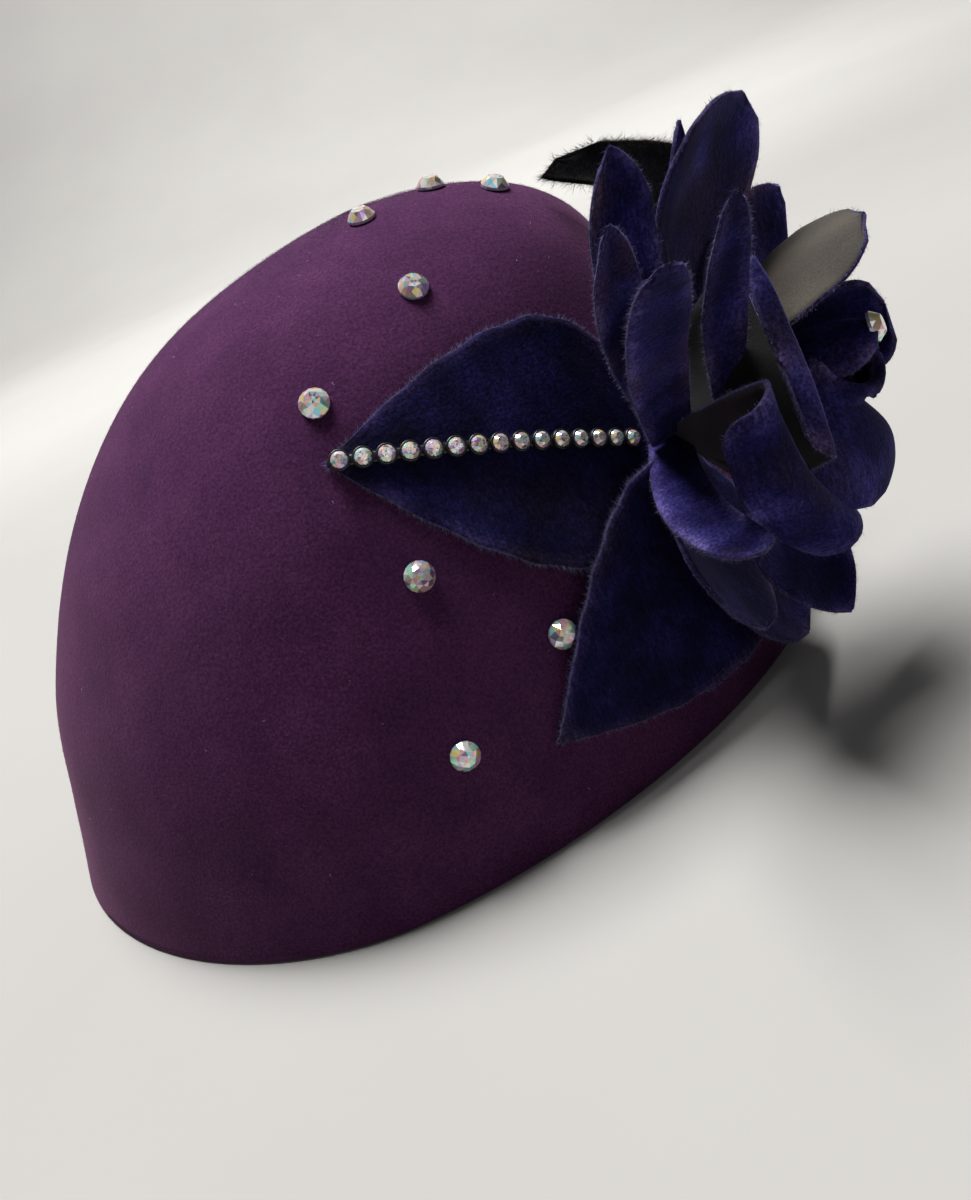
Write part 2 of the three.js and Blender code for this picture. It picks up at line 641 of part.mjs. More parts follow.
for (const petal of petals) laySheet(petal.name, petalGrid(petal), VELVET, velvet);

// Sets the hat down with the middle of its box over the origin
const box = new THREE.Box3().setFromObject(hat);
hat.position.set(-(box.min.x + box.max.x) / 2, -(box.min.y + box.max.y) / 2, -box.min.z);

export default hat;
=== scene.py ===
"""A blocked wool felt hat with a velvet rose, velvet leaves, cut stones and a stone chain.

Sizes in the tables and constants are in millimetres or are shares of a named size. The meshes are
in metres, in the frame of the solids.
"""

import logging
import math
from collections.abc import Sequence
from dataclasses import dataclass, field
from enum import Enum

import bmesh
import bpy
import numpy as np
from mathutils import Matrix, Vector


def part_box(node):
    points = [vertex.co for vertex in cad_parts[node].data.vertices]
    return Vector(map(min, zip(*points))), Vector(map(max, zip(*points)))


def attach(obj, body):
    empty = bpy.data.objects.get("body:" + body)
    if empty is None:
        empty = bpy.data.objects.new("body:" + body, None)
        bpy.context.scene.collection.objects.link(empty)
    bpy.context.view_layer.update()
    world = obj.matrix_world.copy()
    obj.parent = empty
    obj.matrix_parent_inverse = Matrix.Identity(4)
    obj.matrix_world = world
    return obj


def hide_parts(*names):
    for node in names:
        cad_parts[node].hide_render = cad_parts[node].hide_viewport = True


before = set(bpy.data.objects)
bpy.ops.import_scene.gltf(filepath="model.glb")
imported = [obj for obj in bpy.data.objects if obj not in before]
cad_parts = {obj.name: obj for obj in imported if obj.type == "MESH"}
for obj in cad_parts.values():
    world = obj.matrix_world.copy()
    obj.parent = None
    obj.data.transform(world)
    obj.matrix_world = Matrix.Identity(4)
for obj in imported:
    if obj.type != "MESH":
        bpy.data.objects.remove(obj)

log = logging.getLogger("hat")

MM = 0.001
ROOT_BODY = "root"
PLAIN_TINT = (1.0, 1.0, 1.0)
SAME_PLACE = 1e-6
SECTION_HALVINGS = 22
DROP_HALVINGS = 26

# The felt crown
RIM_LENGTH = 248.0
RIM_WIDTH = 198.0
CROWN_HEIGHT = 143.0
FELT = 2.2
WIDEST = 0.42
BLUNT_BACK = 1.8
BLUNT_FRONT = 1.75

# The velvet rose, whose place is degrees around the crown and a share of the way up
ROSE_AROUND = 323.0
ROSE_UP_CROWN = 0.392
ROSE_SUNK = 4.7
ROSE_AZIMUTH = -28.0
ROSE_TILT = 11.0
ROSE_RADIUS = 70.0
ROSE_DEPTH = 60.0
PETAL_WIDTH = 56.0
VELVET = 1.1
CORE_ROOT_RADIUS = 4.0
CORE_TIP_RADIUS = 3.0

# The leaves
LEAF_WIDTH = 59.0
LEAF_REST = 0.45
LEAF_CURL = 2.0
LEAF_OVERLAP = 4.0

# Stones and the chain of small stones
STONE = 7.2
STONE_DEPTH = 2.6
CHAIN_STONE = 4.0
CHAIN_STONE_DEPTH = 1.6
CHAIN_COUNT = 15
CHAIN_MARGIN = 2.5
BAND_WIDTH = 2.4
BAND_CUP = 4.6
BAND_THICK = 1.0
CLEARANCE = 0.3

# Where the seeds of repeated pieces start
FIRST_CHAIN_SEED = 40
FIRST_LEAF_SEED = 70

# Sections of the crown from the rim to the top: rise is a share of the height, lean and reach are
# shares of the rim's length and side is a share of its width.
CROWN_COLUMNS = ("rise", "lean", "reach", "side")
CROWN_ROWS = (
    (0.0, 0.0, 1.0, 1.0),
    (0.2, 0.015, 0.938, 0.978),
    (0.41, 0.023, 0.853, 0.9),
    (0.665, 0.051, 0.7, 0.741),
    (0.86, 0.092, 0.522, 0.531),
    (0.962, 0.12, 0.295, 0.274),
    (1.0, 0.139, 0.0, 0.0),
)


class Side(Enum):
    """Which side of a petal shows its woven backing."""

    NEITHER = "neither"
    OUTER = "outer"
    BOTH = "both"


@dataclass(frozen=True)
class PetalRow:
    """One petal: places in the rose as shares of its radius and depth, angles in degrees."""

    name: str
    root_around: float
    root_out: float
    root_up: float
    tip_around: float
    tip_out: float
    tip_up: float
    bow: float
    sway: float
    facing: float
    width: float
    cup: float
    roll: float
    point: float
    root_width: float
    widest: float
    lip: float
    lip_turn: float
    backing: Side = Side.NEITHER
    backing_finish: str = "backing"


PETAL_ROWS = (
    PetalRow(
        "petal_near_upper", 85, 0.1, 0.19, 51, 1.03, 0.72,
        0.02, 0.02, 72, 0.25, 20, 40, -0.3, 0.75, 0.62, 0, 0,
    ),
    PetalRow(
        "petal_near_lower", 95, 0.06, 0.16, 106, 0.77, 0.55,
        0.02, -0.08, -80, 0.23, 20, 40, -0.2, 0.8, 0.6, 0, 0,
    ),
    PetalRow(
        "petal_narrow", 78, 0.14, 0.45, 37, 0.85, 0.92,
        0.04, 0, 70, 0.18, 30, 20, 0.3, 0.5, 0.45, 0, 0,
    ),
    # Its outer side takes the plum copy of the backing that is darkened as painted shade.
    PetalRow(
        "petal_low_rolled", 115, 0.07, 0.2, 112, 0.41, 0.68,
        0.04, 0, 0, 0.86, 25, 10, -1, 0.15, 0.8, 0.36, 150, Side.OUTER, "painted_shade_plum_backing",
    ),
    # Its outer side takes the copy of the backing that is darkened as painted shade.
    PetalRow(
        "petal_wide_rolled", 80, 0.06, 0.25, 64, 0.28, 0.8,
        0.04, 0, 0, 0.82, -6, 10, -2, 0.24, 0.7, 0.12, 145, Side.OUTER, "painted_shade_backing",
    ),
    PetalRow(
        "petal_wrap", 150, 0.11, 0.82, 158, 0.49, 0.78,
        -0.04, 0, -20, 0.75, -20, 20, -0.6, 0.24, 0.6, 0, 0,
    ),
    PetalRow(
        "petal_centre", 25, 0.03, 0.5, 25, 0.04, 1.03,
        0.05, 0, 0, 0.36, 60, 10, 0, 0.24, 0.6, 0, 0,
    ),
    PetalRow(
        "petal_heart", 182, 0.25, 0.62, 150, 0.13, 0.92,
        0.03, 0, 0, 0.58, 85, 0, -2, 0.24, 0.6, 0.07, 150,
    ),
    PetalRow(
        "petal_inner_back", -100, 0.08, 0.55, -88, 0.25, 1.03,
        0.03, 0, 0, 0.5, 70, 10, -0.8, 0.24, 0.6, 0, 0,
    ),
    PetalRow(
        "petal_tongue", 10, 0.07, 0.35, -5, 0.35, 1.13,
        0.06, -0.06, -20, 0.6, 35, 30, 0, 0.24, 0.6, 0, 0, Side.OUTER,
    ),
    PetalRow(
        "petal_lower_front", 160, 0.09, 0.5, 168, 0.84, 0.52,
        0.09, 0, -20, 0.64, 20, 20, 0.7, 0.24, 0.6, 0, 0,
    ),
    PetalRow(
        "petal_left_fold", 55, 0.17, 0.16, 42, 1.06, 0.6,
        0.04, 0, 60, 0.2, 20, 20, 0.5, 0.24, 0.6, 0, 0,
    ),
    PetalRow(
        "petal_left", 15, 0.05, 0.15, 22, 1, 0.6,
        -0.06, 0.07, 50, 0.29, 20, 20, 0.7, 0.32, 0.8, 0, 0,
    ),
    PetalRow(
        "petal_right", -45, 0.07, 0.4, -61, 0.87, 0.76,
        0.06, 0, 10, 0.5, 20, 20, 0.6, 0.24, 0.6, 0, 0,
    ),
    PetalRow(
        "petal_tall", -30, 0.09, 0.3, -29, 0.91, 0.86,
        0.1, 0.05, 0, 0.82, 25, 20, 0.1, 0.24, 0.6, 0, 0,
    ),
    PetalRow(
        "petal_behind", -20, 0.07, 0.25, -14, 0.87, 0.67,
        0.03, 0, 0, 0.36, 20, 20, 0.8, 0.24, 0.6, 0, 0,
    ),
    PetalRow(
        "petal_lower_near", 140, 0.11, 0.13, 148, 0.77, 0.27,
        0.04, 0, 0, 0.79, 20, 20, 0.3, 0.24, 0.6, 0, 0,
    ),
    PetalRow(
        "petal_lower", 170, 0.09, 0.17, 172, 0.89, 0.3,
        0.09, 0, 0, 0.79, 20, 20, 0.2, 0.24, 0.6, 0, 0,
    ),
    PetalRow(
        "leaf_back", -60, 0.5, 0.15, -29, 1.06, 0.07,
        0, -0.4, 40, 0.42, 10, 0, -2, 0.24, 0.45, 0, 0, Side.BOTH, "ribbon",
    ),
)


@dataclass(frozen=True)
class LeafRow:
    """A leaf that lies on the felt, from a root to a tip, in degrees and shares of the way up."""

    name: str
    around: float
    up_crown: float
    tip_around: float
    tip_up_crown: float
    width: float
    root_width: float
    widest: float
    lift: float


LEAF_ROWS = (
    LeafRow("leaf_front", 321, 0.392, 275, 0.542, 1.0, 0.55, 0.33, 0),
    LeafRow("leaf_low", 323.5, 0.265, 292.5, 0.158, 0.95, 0.85, 0.24, 1),
)

# Where the large stones sit: degrees around and a share of the way up
STONE_ROWS = (
    (289, 0.908),
    (343, 0.792),
    (345, 0.892),
    (295, 0.692),
    (273, 0.608),
    (285, 0.408),
    (298, 0.277),
    (283, 0.208),
)


def unit(values: np.ndarray) -> np.ndarray:
    """Returns vectors scaled to length one."""
    return values / np.maximum(np.linalg.norm(values, axis=-1, keepdims=True), 1e-9)


def signed_power(value: np.ndarray, power: float) -> np.ndarray:
    """Returns a power that keeps the value's sign."""
    return np.sign(value) * np.abs(value) ** power


def waves(points: np.ndarray, length: float, seed: int) -> np.ndarray:
    """Returns a smooth random value from -1 to 1 at each point.

    Args:
        points: places in millimetres, with x, y, z on the last axis.
        length: the waves' length in millimetres.
        seed: what the wave directions are drawn from.

    Returns:
        One value for each point.
    """
    rng = np.random.default_rng(seed)
    total = np.zeros(points.shape[:-1])
    for _ in range(6):
        direction = unit(rng.normal(size=3)) * 2 * math.pi / (length * rng.uniform(0.7, 1.5))
        total += np.sin(points @ direction + rng.uniform(0, 2 * math.pi))
    return total / 6


def turn_to(direction: np.ndarray) -> np.ndarray:
    """Returns the turn that brings +Z to a direction."""
    return np.array(Vector((0, 0, 1)).rotation_difference(Vector(direction)).to_matrix())


class MeshParts:
    """Gathers points and faces of several finishes into one mesh."""

    def __init__(self) -> None:
        """Starts with nothing in it."""
        self.points: list[np.ndarray] = []
        self.faces: list[tuple[int, ...]] = []
        self.finishes: list[int] = []
        self.tints: list[tuple[float, float, float, float]] = []
        self.count = 0

    def add_points(self, points: np.ndarray) -> int:
        """Adds points in millimetres.

        Args:
            points: an array whose last axis is x, y, z.

        Returns:
            The index of the first point added.
        """
        flat = np.asarray(points, float).reshape(-1, 3)
        self.points.append(flat)
        first = self.count
        self.count += len(flat)
        return first

    def add_face(self, face: Sequence[int], finish: int = 0, tint: Sequence[float] = PLAIN_TINT) -> None:
        """Adds one face.

        Args:
            face: the indices of its points.
            finish: the finish's number.
            tint: what its finish's colour is multiplied by.
        """
        self.faces.append(tuple(int(index) for index in face))
        self.finishes.append(finish)
        self.tints.append((*tint, 1.0))

    def add_grid(
        self, grid: np.ndarray, finish: int = 0, flip: bool = False, wrap: bool = False,
        tints: np.ndarray | None = None,
    ) -> int:
        """Adds a surface given as rows of points.

        Args:
            grid: rows by columns by x, y, z in millimetres.
            finish: the finish's number.
            flip: whether the faces turn to the other side.
            wrap: whether the last column joins the first.
            tints: a tint for each point, where the faces aren't all plain.

        Returns:
            The index of the first point added.
        """
        first = self.add_points(grid)
        rows, columns = grid.shape[:2]
        for row in range(rows - 1):
            for column in range(columns if wrap else columns - 1):
                after = (column + 1) % columns
                low, high = first + row * columns, first + (row + 1) * columns
                face = (low + column, low + after, high + after, high + column)
                tint = PLAIN_TINT
                if tints is not None:
                    tint = tints[row:row + 2, [column, after]].mean(axis=(0, 1))
                self.add_face(face[::-1] if flip else face, finish, tint)
        return first

    def add_cap(self, ring: np.ndarray, middle: np.ndarray, flip: bool = False) -> None:
        """Closes a ring of points with triangles that meet in its middle.

        Args:
            ring: the points around, in order.
            middle: the point where the triangles meet.
            flip: whether the faces turn to the other side.
        """
        centre = self.add_points(middle)
        first = self.add_points(ring)
        for index in range(len(ring)):
            face = (first + index, first + (index + 1) % len(ring), centre)
            self.add_face(face[::-1] if flip else face)

    def build(
        self, name: str, materials: Sequence[bpy.types.Material], smooth: bool = True
    ) -> bpy.types.Object:
        """Makes the object and puts it on the body.

        Args:
            name: the piece's name.
            materials: its finishes, in the order of their numbers.
            smooth: whether faces are shaded smooth.

        Returns:
            The new object.
        """
        mesh = bpy.data.meshes.new(name)
        points = np.concatenate(self.points) * MM
        mesh.from_pydata(points.tolist(), [], self.faces)
        for material in materials:
            mesh.materials.append(material)
        mesh.polygons.foreach_set("material_index", self.finishes)
        mesh.polygons.foreach_set("use_smooth", [smooth] * len(self.faces))
        layer = mesh.color_attributes.new("tint", "FLOAT_COLOR", "CORNER")
        counts = [len(face) for face in self.faces]
        layer.data.foreach_set("color", np.repeat(np.array(self.tints), counts, axis=0).ravel())
        mesh.validate()
        mesh.update()
        piece = bpy.data.objects.new(name, mesh)
        bpy.context.scene.collection.objects.link(piece)
        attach(piece, ROOT_BODY)
        log.info("%s: %d faces", name, len(self.faces))
        return piece

    def add_strands(
        self, roots: np.ndarray, directions: np.ndarray, lengths: np.ndarray, width: float, seed: int
    ) -> None:
        """Adds a thin bent fibre of two triangles at each root.

        Args:
            roots: where the fibres start, in millimetres.
            directions: which way they stand.
            lengths: how long they are.
            width: how thick they are at the root.
            seed: what their bends are drawn from.
        """
        rng = np.random.default_rng(seed)
        side = unit(np.cross(directions, rng.normal(size=roots.shape))) * width / 2
        bend = unit(rng.normal(size=roots.shape)) * lengths[:, None] * 0.3
        middle = roots + directions * lengths[:, None] * 0.5 + bend * 0.4
        tip = roots + directions * lengths[:, None] + bend
        first = self.add_points(np.stack([roots - side, roots + side, middle, tip], axis=1))
        for index in range(len(roots)):
            base = first + 4 * index
            self.add_face((base, base + 1, base + 2))
            self.add_face((base + 1, base + 3, base + 2))


class NodeBench:
    """A short way to write a material's nodes."""

    def __init__(self, name: str) -> None:
        """Starts a material with one surface shader.

        Args:
            name: the material's name.
        """
        self.material = bpy.data.materials.new(name)
        self.material.use_nodes = True
        self.tree = self.material.node_tree
        self.shader = self.tree.nodes["Principled BSDF"]

    def node(self, kind: str, **settings: object) -> bpy.types.Node:
        """Adds a node.

        Args:
            kind: the node's type.
            settings: properties by name, or inputs by name with underscores for spaces.

        Returns:
            The new node.
        """
        made = self.tree.nodes.new(kind)
        for key, value in settings.items():
            label = key.replace("_", " ")
            if label in made.inputs:
                made.inputs[label].default_value = value
            else:
                setattr(made, key, value)
        return made

    def link(self, source: bpy.types.NodeSocket, target: bpy.types.NodeSocket) -> None:
        """Joins two sockets."""
        self.tree.links.new(source, target)

    def place(self) -> bpy.types.NodeSocket:
        """Returns the place on the object, in metres."""
        return self.node("ShaderNodeTexCoord").outputs["Object"]

    def noise(self, place: bpy.types.NodeSocket, scale: float, detail: float = 4.0) -> bpy.types.NodeSocket:
        """Returns a noise.

        Args:
            place: where it is read.
            scale: how many waves it has in each metre.
            detail: how many finer layers lie over them.

        Returns:
            The noise's socket, from 0 to 1.
        """
        made = self.node("ShaderNodeTexNoise", Scale=scale, Detail=detail)
        self.link(place, made.inputs["Vector"])
        return made.outputs["Fac"]

    def ramp(
        self, source: bpy.types.NodeSocket, stops: Sequence[tuple[float, Sequence[float]]]
    ) -> bpy.types.NodeSocket:
        """Returns a colour picked by a value.

        Args:
            source: the value.
            stops: places from 0 to 1 with their colours.

        Returns:
            The colour's socket.
        """
        made = self.node("ShaderNodeValToRGB")
        elements = made.color_ramp.elements
        while len(elements) < len(stops):
            elements.new(0.5)
        for element, (position, colour) in zip(elements, stops):
            element.position = position
            element.color = (*colour, 1.0)
        self.link(source, made.inputs["Fac"])
        return made.outputs["Color"]

    def mix(
        self, amount: bpy.types.NodeSocket | float, first: bpy.types.NodeSocket, second: bpy.types.NodeSocket,
        blend: str = "MIX",
    ) -> bpy.types.NodeSocket:
        """Returns a blend of two colours.

        Args:
            amount: how much of the second one there is.
            first: the first colour.
            second: the second colour.
            blend: how they are blended.

        Returns:
            The colour's socket.
        """
        made = self.node("ShaderNodeMix", data_type="RGBA", blend_type=blend)
        if isinstance(amount, float):
            made.inputs["Factor"].default_value = amount
        else:
            self.link(amount, made.inputs["Factor"])
        self.link(first, made.inputs[6])
        self.link(second, made.inputs[7])
        return made.outputs[2]

    def bump(self, height: bpy.types.NodeSocket, strength: float, distance: float) -> None:
        """Gives the shader a relief.

        Args:
            height: the relief's height.
            strength: how strong it is.
            distance: how deep it is, in metres.
        """
        made = self.node("ShaderNodeBump", Strength=strength, Distance=distance)
        self.link(height, made.inputs["Height"])
        self.link(made.outputs["Normal"], self.shader.inputs["Normal"])

    def settle(self, **values: object) -> bpy.types.Material:
        """Sets the shader's own sockets.

        Args:
            values: the sockets' values by name, with underscores for spaces.

        Returns:
            The material.
        """
        for key, value in values.items():
            self.shader.inputs[key.replace("_", " ")].default_value = value
        return self.material


@dataclass(frozen=True)
class FeltFinish:
    """Matted wool: mottled colour, fine grain and a soft bloom."""

    dark: tuple[float, float, float] = (0.047, 0.0120, 0.050)
    middle: tuple[float, float, float] = (0.060, 0.0160, 0.061)
    light: tuple[float, float, float] = (0.075, 0.0220, 0.072)
    mottle_scale: float = 55.0
    grain_scale: float = 1500.0
    relief_scale: float = 900.0

    def material(self, name: str) -> bpy.types.Material:
        """Makes the material.

        Args:
            name: the material's name.

        Returns:
            The new material.
        """
        bench = NodeBench(name)
        place = bench.place()
        mottle = bench.ramp(
            bench.noise(place, self.mottle_scale, detail=5.0),
            [(0.3, self.dark), (0.52, self.middle), (0.75, self.light)],
        )
        grain = bench.ramp(
            bench.noise(place, self.grain_scale, detail=3.0),
            [(0.35, (0.62, 0.6, 0.62)), (0.7, (1.25, 1.25, 1.25))],
        )
        colour = bench.mix(1.0, mottle, grain, "MULTIPLY")
        bench.link(colour, bench.shader.inputs["Base Color"])
        bench.bump(bench.noise(place, self.relief_scale, detail=6.0), strength=0.35, distance=0.0004)
        return bench.settle(
            Roughness=0.95, Sheen_Weight=0.1, Sheen_Roughness=0.5, Sheen_Tint=(0.8, 0.4, 0.6, 1.0),
            Specular_IOR_Level=0.08,
        )


@dataclass(frozen=True)
class VelvetFinish:
    """Short pile on a soft base: dark where it is seen into, bright where it leans away."""

    dark: tuple[float, float, float] = (0.0040, 0.0034, 0.0280)
    middle: tuple[float, float, float] = (0.0090, 0.0078, 0.0640)
    light: tuple[float, float, float] = (0.0340, 0.0300, 0.1650)
    bloom: tuple[float, float, float] = (0.0300, 0.0190, 0.0420)
    sheen: float = 0.2
    crush_scale: float = 70.0
    bloom_scale: float = 32.0
    grain_scale: float = 1500.0
    streak_scale: float = 1300.0
    relief_scale: float = 1100.0

    def material(self, name: str) -> bpy.types.Material:
        """Makes the material.

        Args:
            name: the material's name.

        Returns:
            The new material.
        """
        bench = NodeBench(name)
        place = bench.place()
        crushed = bench.ramp(
            bench.noise(place, self.crush_scale, detail=6.0),
            [(0.34, self.dark), (0.5, self.middle), (0.7, self.light)],
        )
        patches = bench.ramp(
            bench.noise(place, self.bloom_scale, detail=3.0), [(0.52, (0, 0, 0)), (0.7, (0.55, 0.55, 0.55))]
        )
        bloom = bench.node("ShaderNodeRGB")
        bloom.outputs[0].default_value = (*self.bloom, 1.0)
        pile = bench.mix(patches, crushed, bloom.outputs[0])
        grain = bench.ramp(
            bench.noise(place, self.grain_scale, detail=2.0),
            [(0.3, (0.45, 0.45, 0.5)), (0.72, (1.6, 1.55, 1.5))],
        )
        nap = bench.node("ShaderNodeMapping", Scale=(1.0, 1.0, 0.16), Rotation=(0.5, 0.35, 0.0))
        bench.link(place, nap.inputs["Vector"])
        streaks = bench.ramp(
            bench.noise(nap.outputs["Vector"], self.streak_scale, detail=1.0),
            [(0.35, (0.7, 0.7, 0.72)), (0.68, (1.3, 1.28, 1.25))],
        )
        textured = bench.mix(1.0, bench.mix(1.0, pile, grain, "MULTIPLY"), streaks, "MULTIPLY")
        # The tint layer brightens the margins: a painted highlight.
        tint = bench.node("ShaderNodeVertexColor", layer_name="tint").outputs["Color"]
        colour = bench.mix(1.0, textured, tint, "MULTIPLY")
        bench.link(colour, bench.shader.inputs["Base Color"])
        bench.bump(bench.noise(place, self.relief_scale, detail=5.0), strength=0.5, distance=0.0005)
        return bench.settle(
            Roughness=0.85, Sheen_Weight=self.sheen, Sheen_Roughness=0.32,
            Sheen_Tint=(0.36, 0.30, 0.80, 1.0), Specular_IOR_Level=0.08,
        )


@dataclass(frozen=True)
class BackingFinish:
    """The plain woven back of the velvet."""

    dark: tuple[float, float, float] = (0.024, 0.019, 0.0145)
    light: tuple[float, float, float] = (0.058, 0.046, 0.035)
    cloud_scale: float = 60.0
    weave_scale: float = 2200.0

    def material(self, name: str) -> bpy.types.Material:
        """Makes the material.

        Args:
            name: the material's name.

        Returns:
            The new material.
        """
        bench = NodeBench(name)
        place = bench.place()
        cloud = bench.ramp(bench.noise(place, self.cloud_scale), [(0.3, self.dark), (0.7, self.light)])
        weave = bench.noise(place, self.weave_scale, detail=2.0)
        threads = bench.ramp(weave, [(0.35, (0.7, 0.7, 0.7)), (0.65, (1.2, 1.2, 1.2))])
        bench.link(bench.mix(1.0, cloud, threads, "MULTIPLY"), bench.shader.inputs["Base Color"])
        bench.bump(weave, strength=0.3, distance=0.0003)
        return bench.settle(Roughness=0.8, Sheen_Weight=0.15, Sheen_Roughness=0.5, Specular_IOR_Level=0.25)


@dataclass(frozen=True)
class FibreFinish:
    """Loose cut fibres, paler than the pile."""

    colour: tuple[float, float, float] = (0.115, 0.095, 0.22)

    def material(self, name: str) -> bpy.types.Material:
        """Makes the material.

        Args:
            name: the material's name.

        Returns:
            The new material.
        """
        bench = NodeBench(name)
        place = bench.place()
        dim = tuple(0.55 * part for part in self.colour)
        colour = bench.ramp(bench.noise(place, 400.0, detail=2.0), [(0.3, dim), (0.65, self.colour)])
        bench.link(colour, bench.shader.inputs["Base Color"])
        return bench.settle(Roughness=0.8, Sheen_Weight=0.3, Specular_IOR_Level=0.2)


@dataclass(frozen=True)
class CrystalFinish:
    """A foiled cut stone with a rainbow coat, whose facets each carry a tint: partly the coat's own colours,
    partly painted reflections.
    """

    def material(self, name: str) -> bpy.types.Material:
        """Makes the material.

        Args:
            name: the material's name.

        Returns:
            The new material.
        """
        bench = NodeBench(name)
        tint = bench.node("ShaderNodeVertexColor", layer_name="tint")
        bench.link(tint.outputs["Color"], bench.shader.inputs["Base Color"])
        return bench.settle(Roughness=0.08, Metallic=0.5, Coat_Weight=0.5, Coat_Roughness=0.02)


@dataclass(frozen=True)
class CupFinish:
    """The chain's glossy black band."""

    def material(self, name: str) -> bpy.types.Material:
        """Makes the material.

        Args:
            name: the material's name.

        Returns:
            The new material.
        """
        bench = NodeBench(name)
        place = bench.place()
        stops = [(0.3, (0.004, 0.004, 0.006)), (0.7, (0.012, 0.012, 0.016))]
        bench.link(bench.ramp(bench.noise(place, 900.0), stops), bench.shader.inputs["Base Color"])
        bench.bump(bench.noise(place, 1500.0), strength=0.15, distance=0.0002)
        return bench.settle(Roughness=0.35, Specular_IOR_Level=0.5)


@dataclass
class CrownForm:
    """The crown's outside as a function of the way around and the way up, in millimetres."""

    length: float = RIM_LENGTH
    width: float = RIM_WIDTH
    height: float = CROWN_HEIGHT
    shift: np.ndarray = field(default_factory=lambda: np.zeros(3))

    def value(self, column: str, share: np.ndarray) -> np.ndarray:
        """Reads the crown table along a smooth curve.

        Args:
            column: the column's name.
            share: from 0 at the rim to 1 at the top.

        Returns:
            The table's values there.
        """
        values = [row[CROWN_COLUMNS.index(column)] for row in CROWN_ROWS]
        last = len(values) - 1
        past = -values[last - 1] if column in ("reach", "side") else values[last - 1]
        knots = np.array([2 * values[0] - values[1], *values, past])
        place = np.clip(share, 0, 1) * last
        index = np.minimum(np.floor(place).astype(int), last - 1)
        t = place - index
        a, b, c, d = (knots[index + step] for step in range(4))
        bend = 2 * a - 5 * b + 4 * c - d
        return 0.5 * (2 * b + (c - a) * t + bend * t**2 + (3 * b - a - 3 * c + d) * t**3)

    def section(self, share: np.ndarray, grow: float) -> tuple[np.ndarray, ...]:
        """Returns the measures of a level section.

        Args:
            share: the share of the way up the wall.
            grow: how far outside the felt it lies.

        Returns:
            Its middle, its reach to the back, the front and the side, and its height.
        """
        length = self.length + 2 * grow
        half = self.value("reach", share) * length / 2
        middle = self.value("lean", share) * length - half + 2 * half * WIDEST
        side = self.value("side", share) * (self.width + 2 * grow) / 2
        height = self.value("rise", share) * (self.height + grow)
        return middle, 2 * half * WIDEST, 2 * half * (1 - WIDEST), side, height

    def point(self, around: np.ndarray, share: np.ndarray, grow: float = 0.0) -> np.ndarray:
        """Returns points of the crown's outside.

        Args:
            around: degrees about the crown.
            share: the share of the way up its wall.
            grow: how far outside the felt the points lie.

        Returns:
            Points with x, y, z on the last axis.
        """
        around, share = np.broadcast_arrays(np.asarray(around, float), np.asarray(share, float))
        middle, back, front, side, height = self.section(share, grow)
        cosine, sine = np.cos(np.radians(around)), np.sin(np.radians(around))
        behind = cosine < 0
        power = np.where(behind, 2 / BLUNT_BACK, 2 / BLUNT_FRONT)
        x = middle + np.where(behind, back, front) * signed_power(cosine, power)
        y = side * signed_power(sine, power)
        return np.stack([x, y, height], axis=-1) + self.shift

    def normal(self, around: np.ndarray, share: np.ndarray) -> np.ndarray:
        """Returns the felt's outward directions.

        Args:
            around: degrees about the crown.
            share: the share of the way up its wall.

        Returns:
            Directions of length one.
        """
        around, share = np.broadcast_arrays(np.asarray(around, float), np.asarray(share, float))
        along = self.point(around + 1, share) - self.point(around - 1, share)
        upward = self.point(around, share + 0.01) - self.point(around, share - 0.01)
        return unit(np.cross(along, upward))

    def inside(self, points: np.ndarray, grow: float) -> np.ndarray:
        """Tells which points lie inside the crown's outer form.

        Args:
            points: places in millimetres.
            grow: how far outside the felt the form lies.

        Returns:
            True for each point inside.
        """
        places = points - self.shift
        low, high = np.zeros(places.shape[:-1]), np.ones(places.shape[:-1])
        for _ in range(SECTION_HALVINGS):
            middle = (low + high) / 2
            below = self.section(middle, grow)[4] < places[..., 2]
            low, high = np.where(below, middle, low), np.where(below, high, middle)
        centre, back, front, side, _ = self.section(low, grow)
        offset = places[..., 0] - centre
        behind = offset < 0
        blunt = np.where(behind, BLUNT_BACK, BLUNT_FRONT)
        reach = np.maximum(np.where(behind, back, front), 1e-6)
        spread = np.abs(offset / reach) ** blunt + np.abs(places[..., 1] / np.maximum(side, 1e-6)) ** blunt
        top = self.section(np.ones(1), grow)[4][0]
        return (places[..., 2] < 0) | ((places[..., 2] < top) & (spread < 1))

    def drop(self, points: np.ndarray, outward: np.ndarray, grow: float | np.ndarray) -> np.ndarray:
        """Drops points against a direction until they meet the crown.

        Args:
            points: where they start from, before they are moved outwards.
            outward: the direction they are dropped against.
            grow: how far off the felt they come to rest.

        Returns:
            Where they rest.
        """
        start = points + outward * RIM_WIDTH / 2
        low, high = np.zeros(points.shape[:-1]), np.full(points.shape[:-1], RIM_WIDTH)
        for _ in range(DROP_HALVINGS):
            middle = (low + high) / 2
            touched = self.inside(start - outward * middle[..., None], 0.0)
            low, high = np.where(touched, low, middle), np.where(touched, middle, high)
        rest = start - outward * low[..., None]
        heights = grow[..., None] if isinstance(grow, np.ndarray) else grow
        return rest + outward * heights


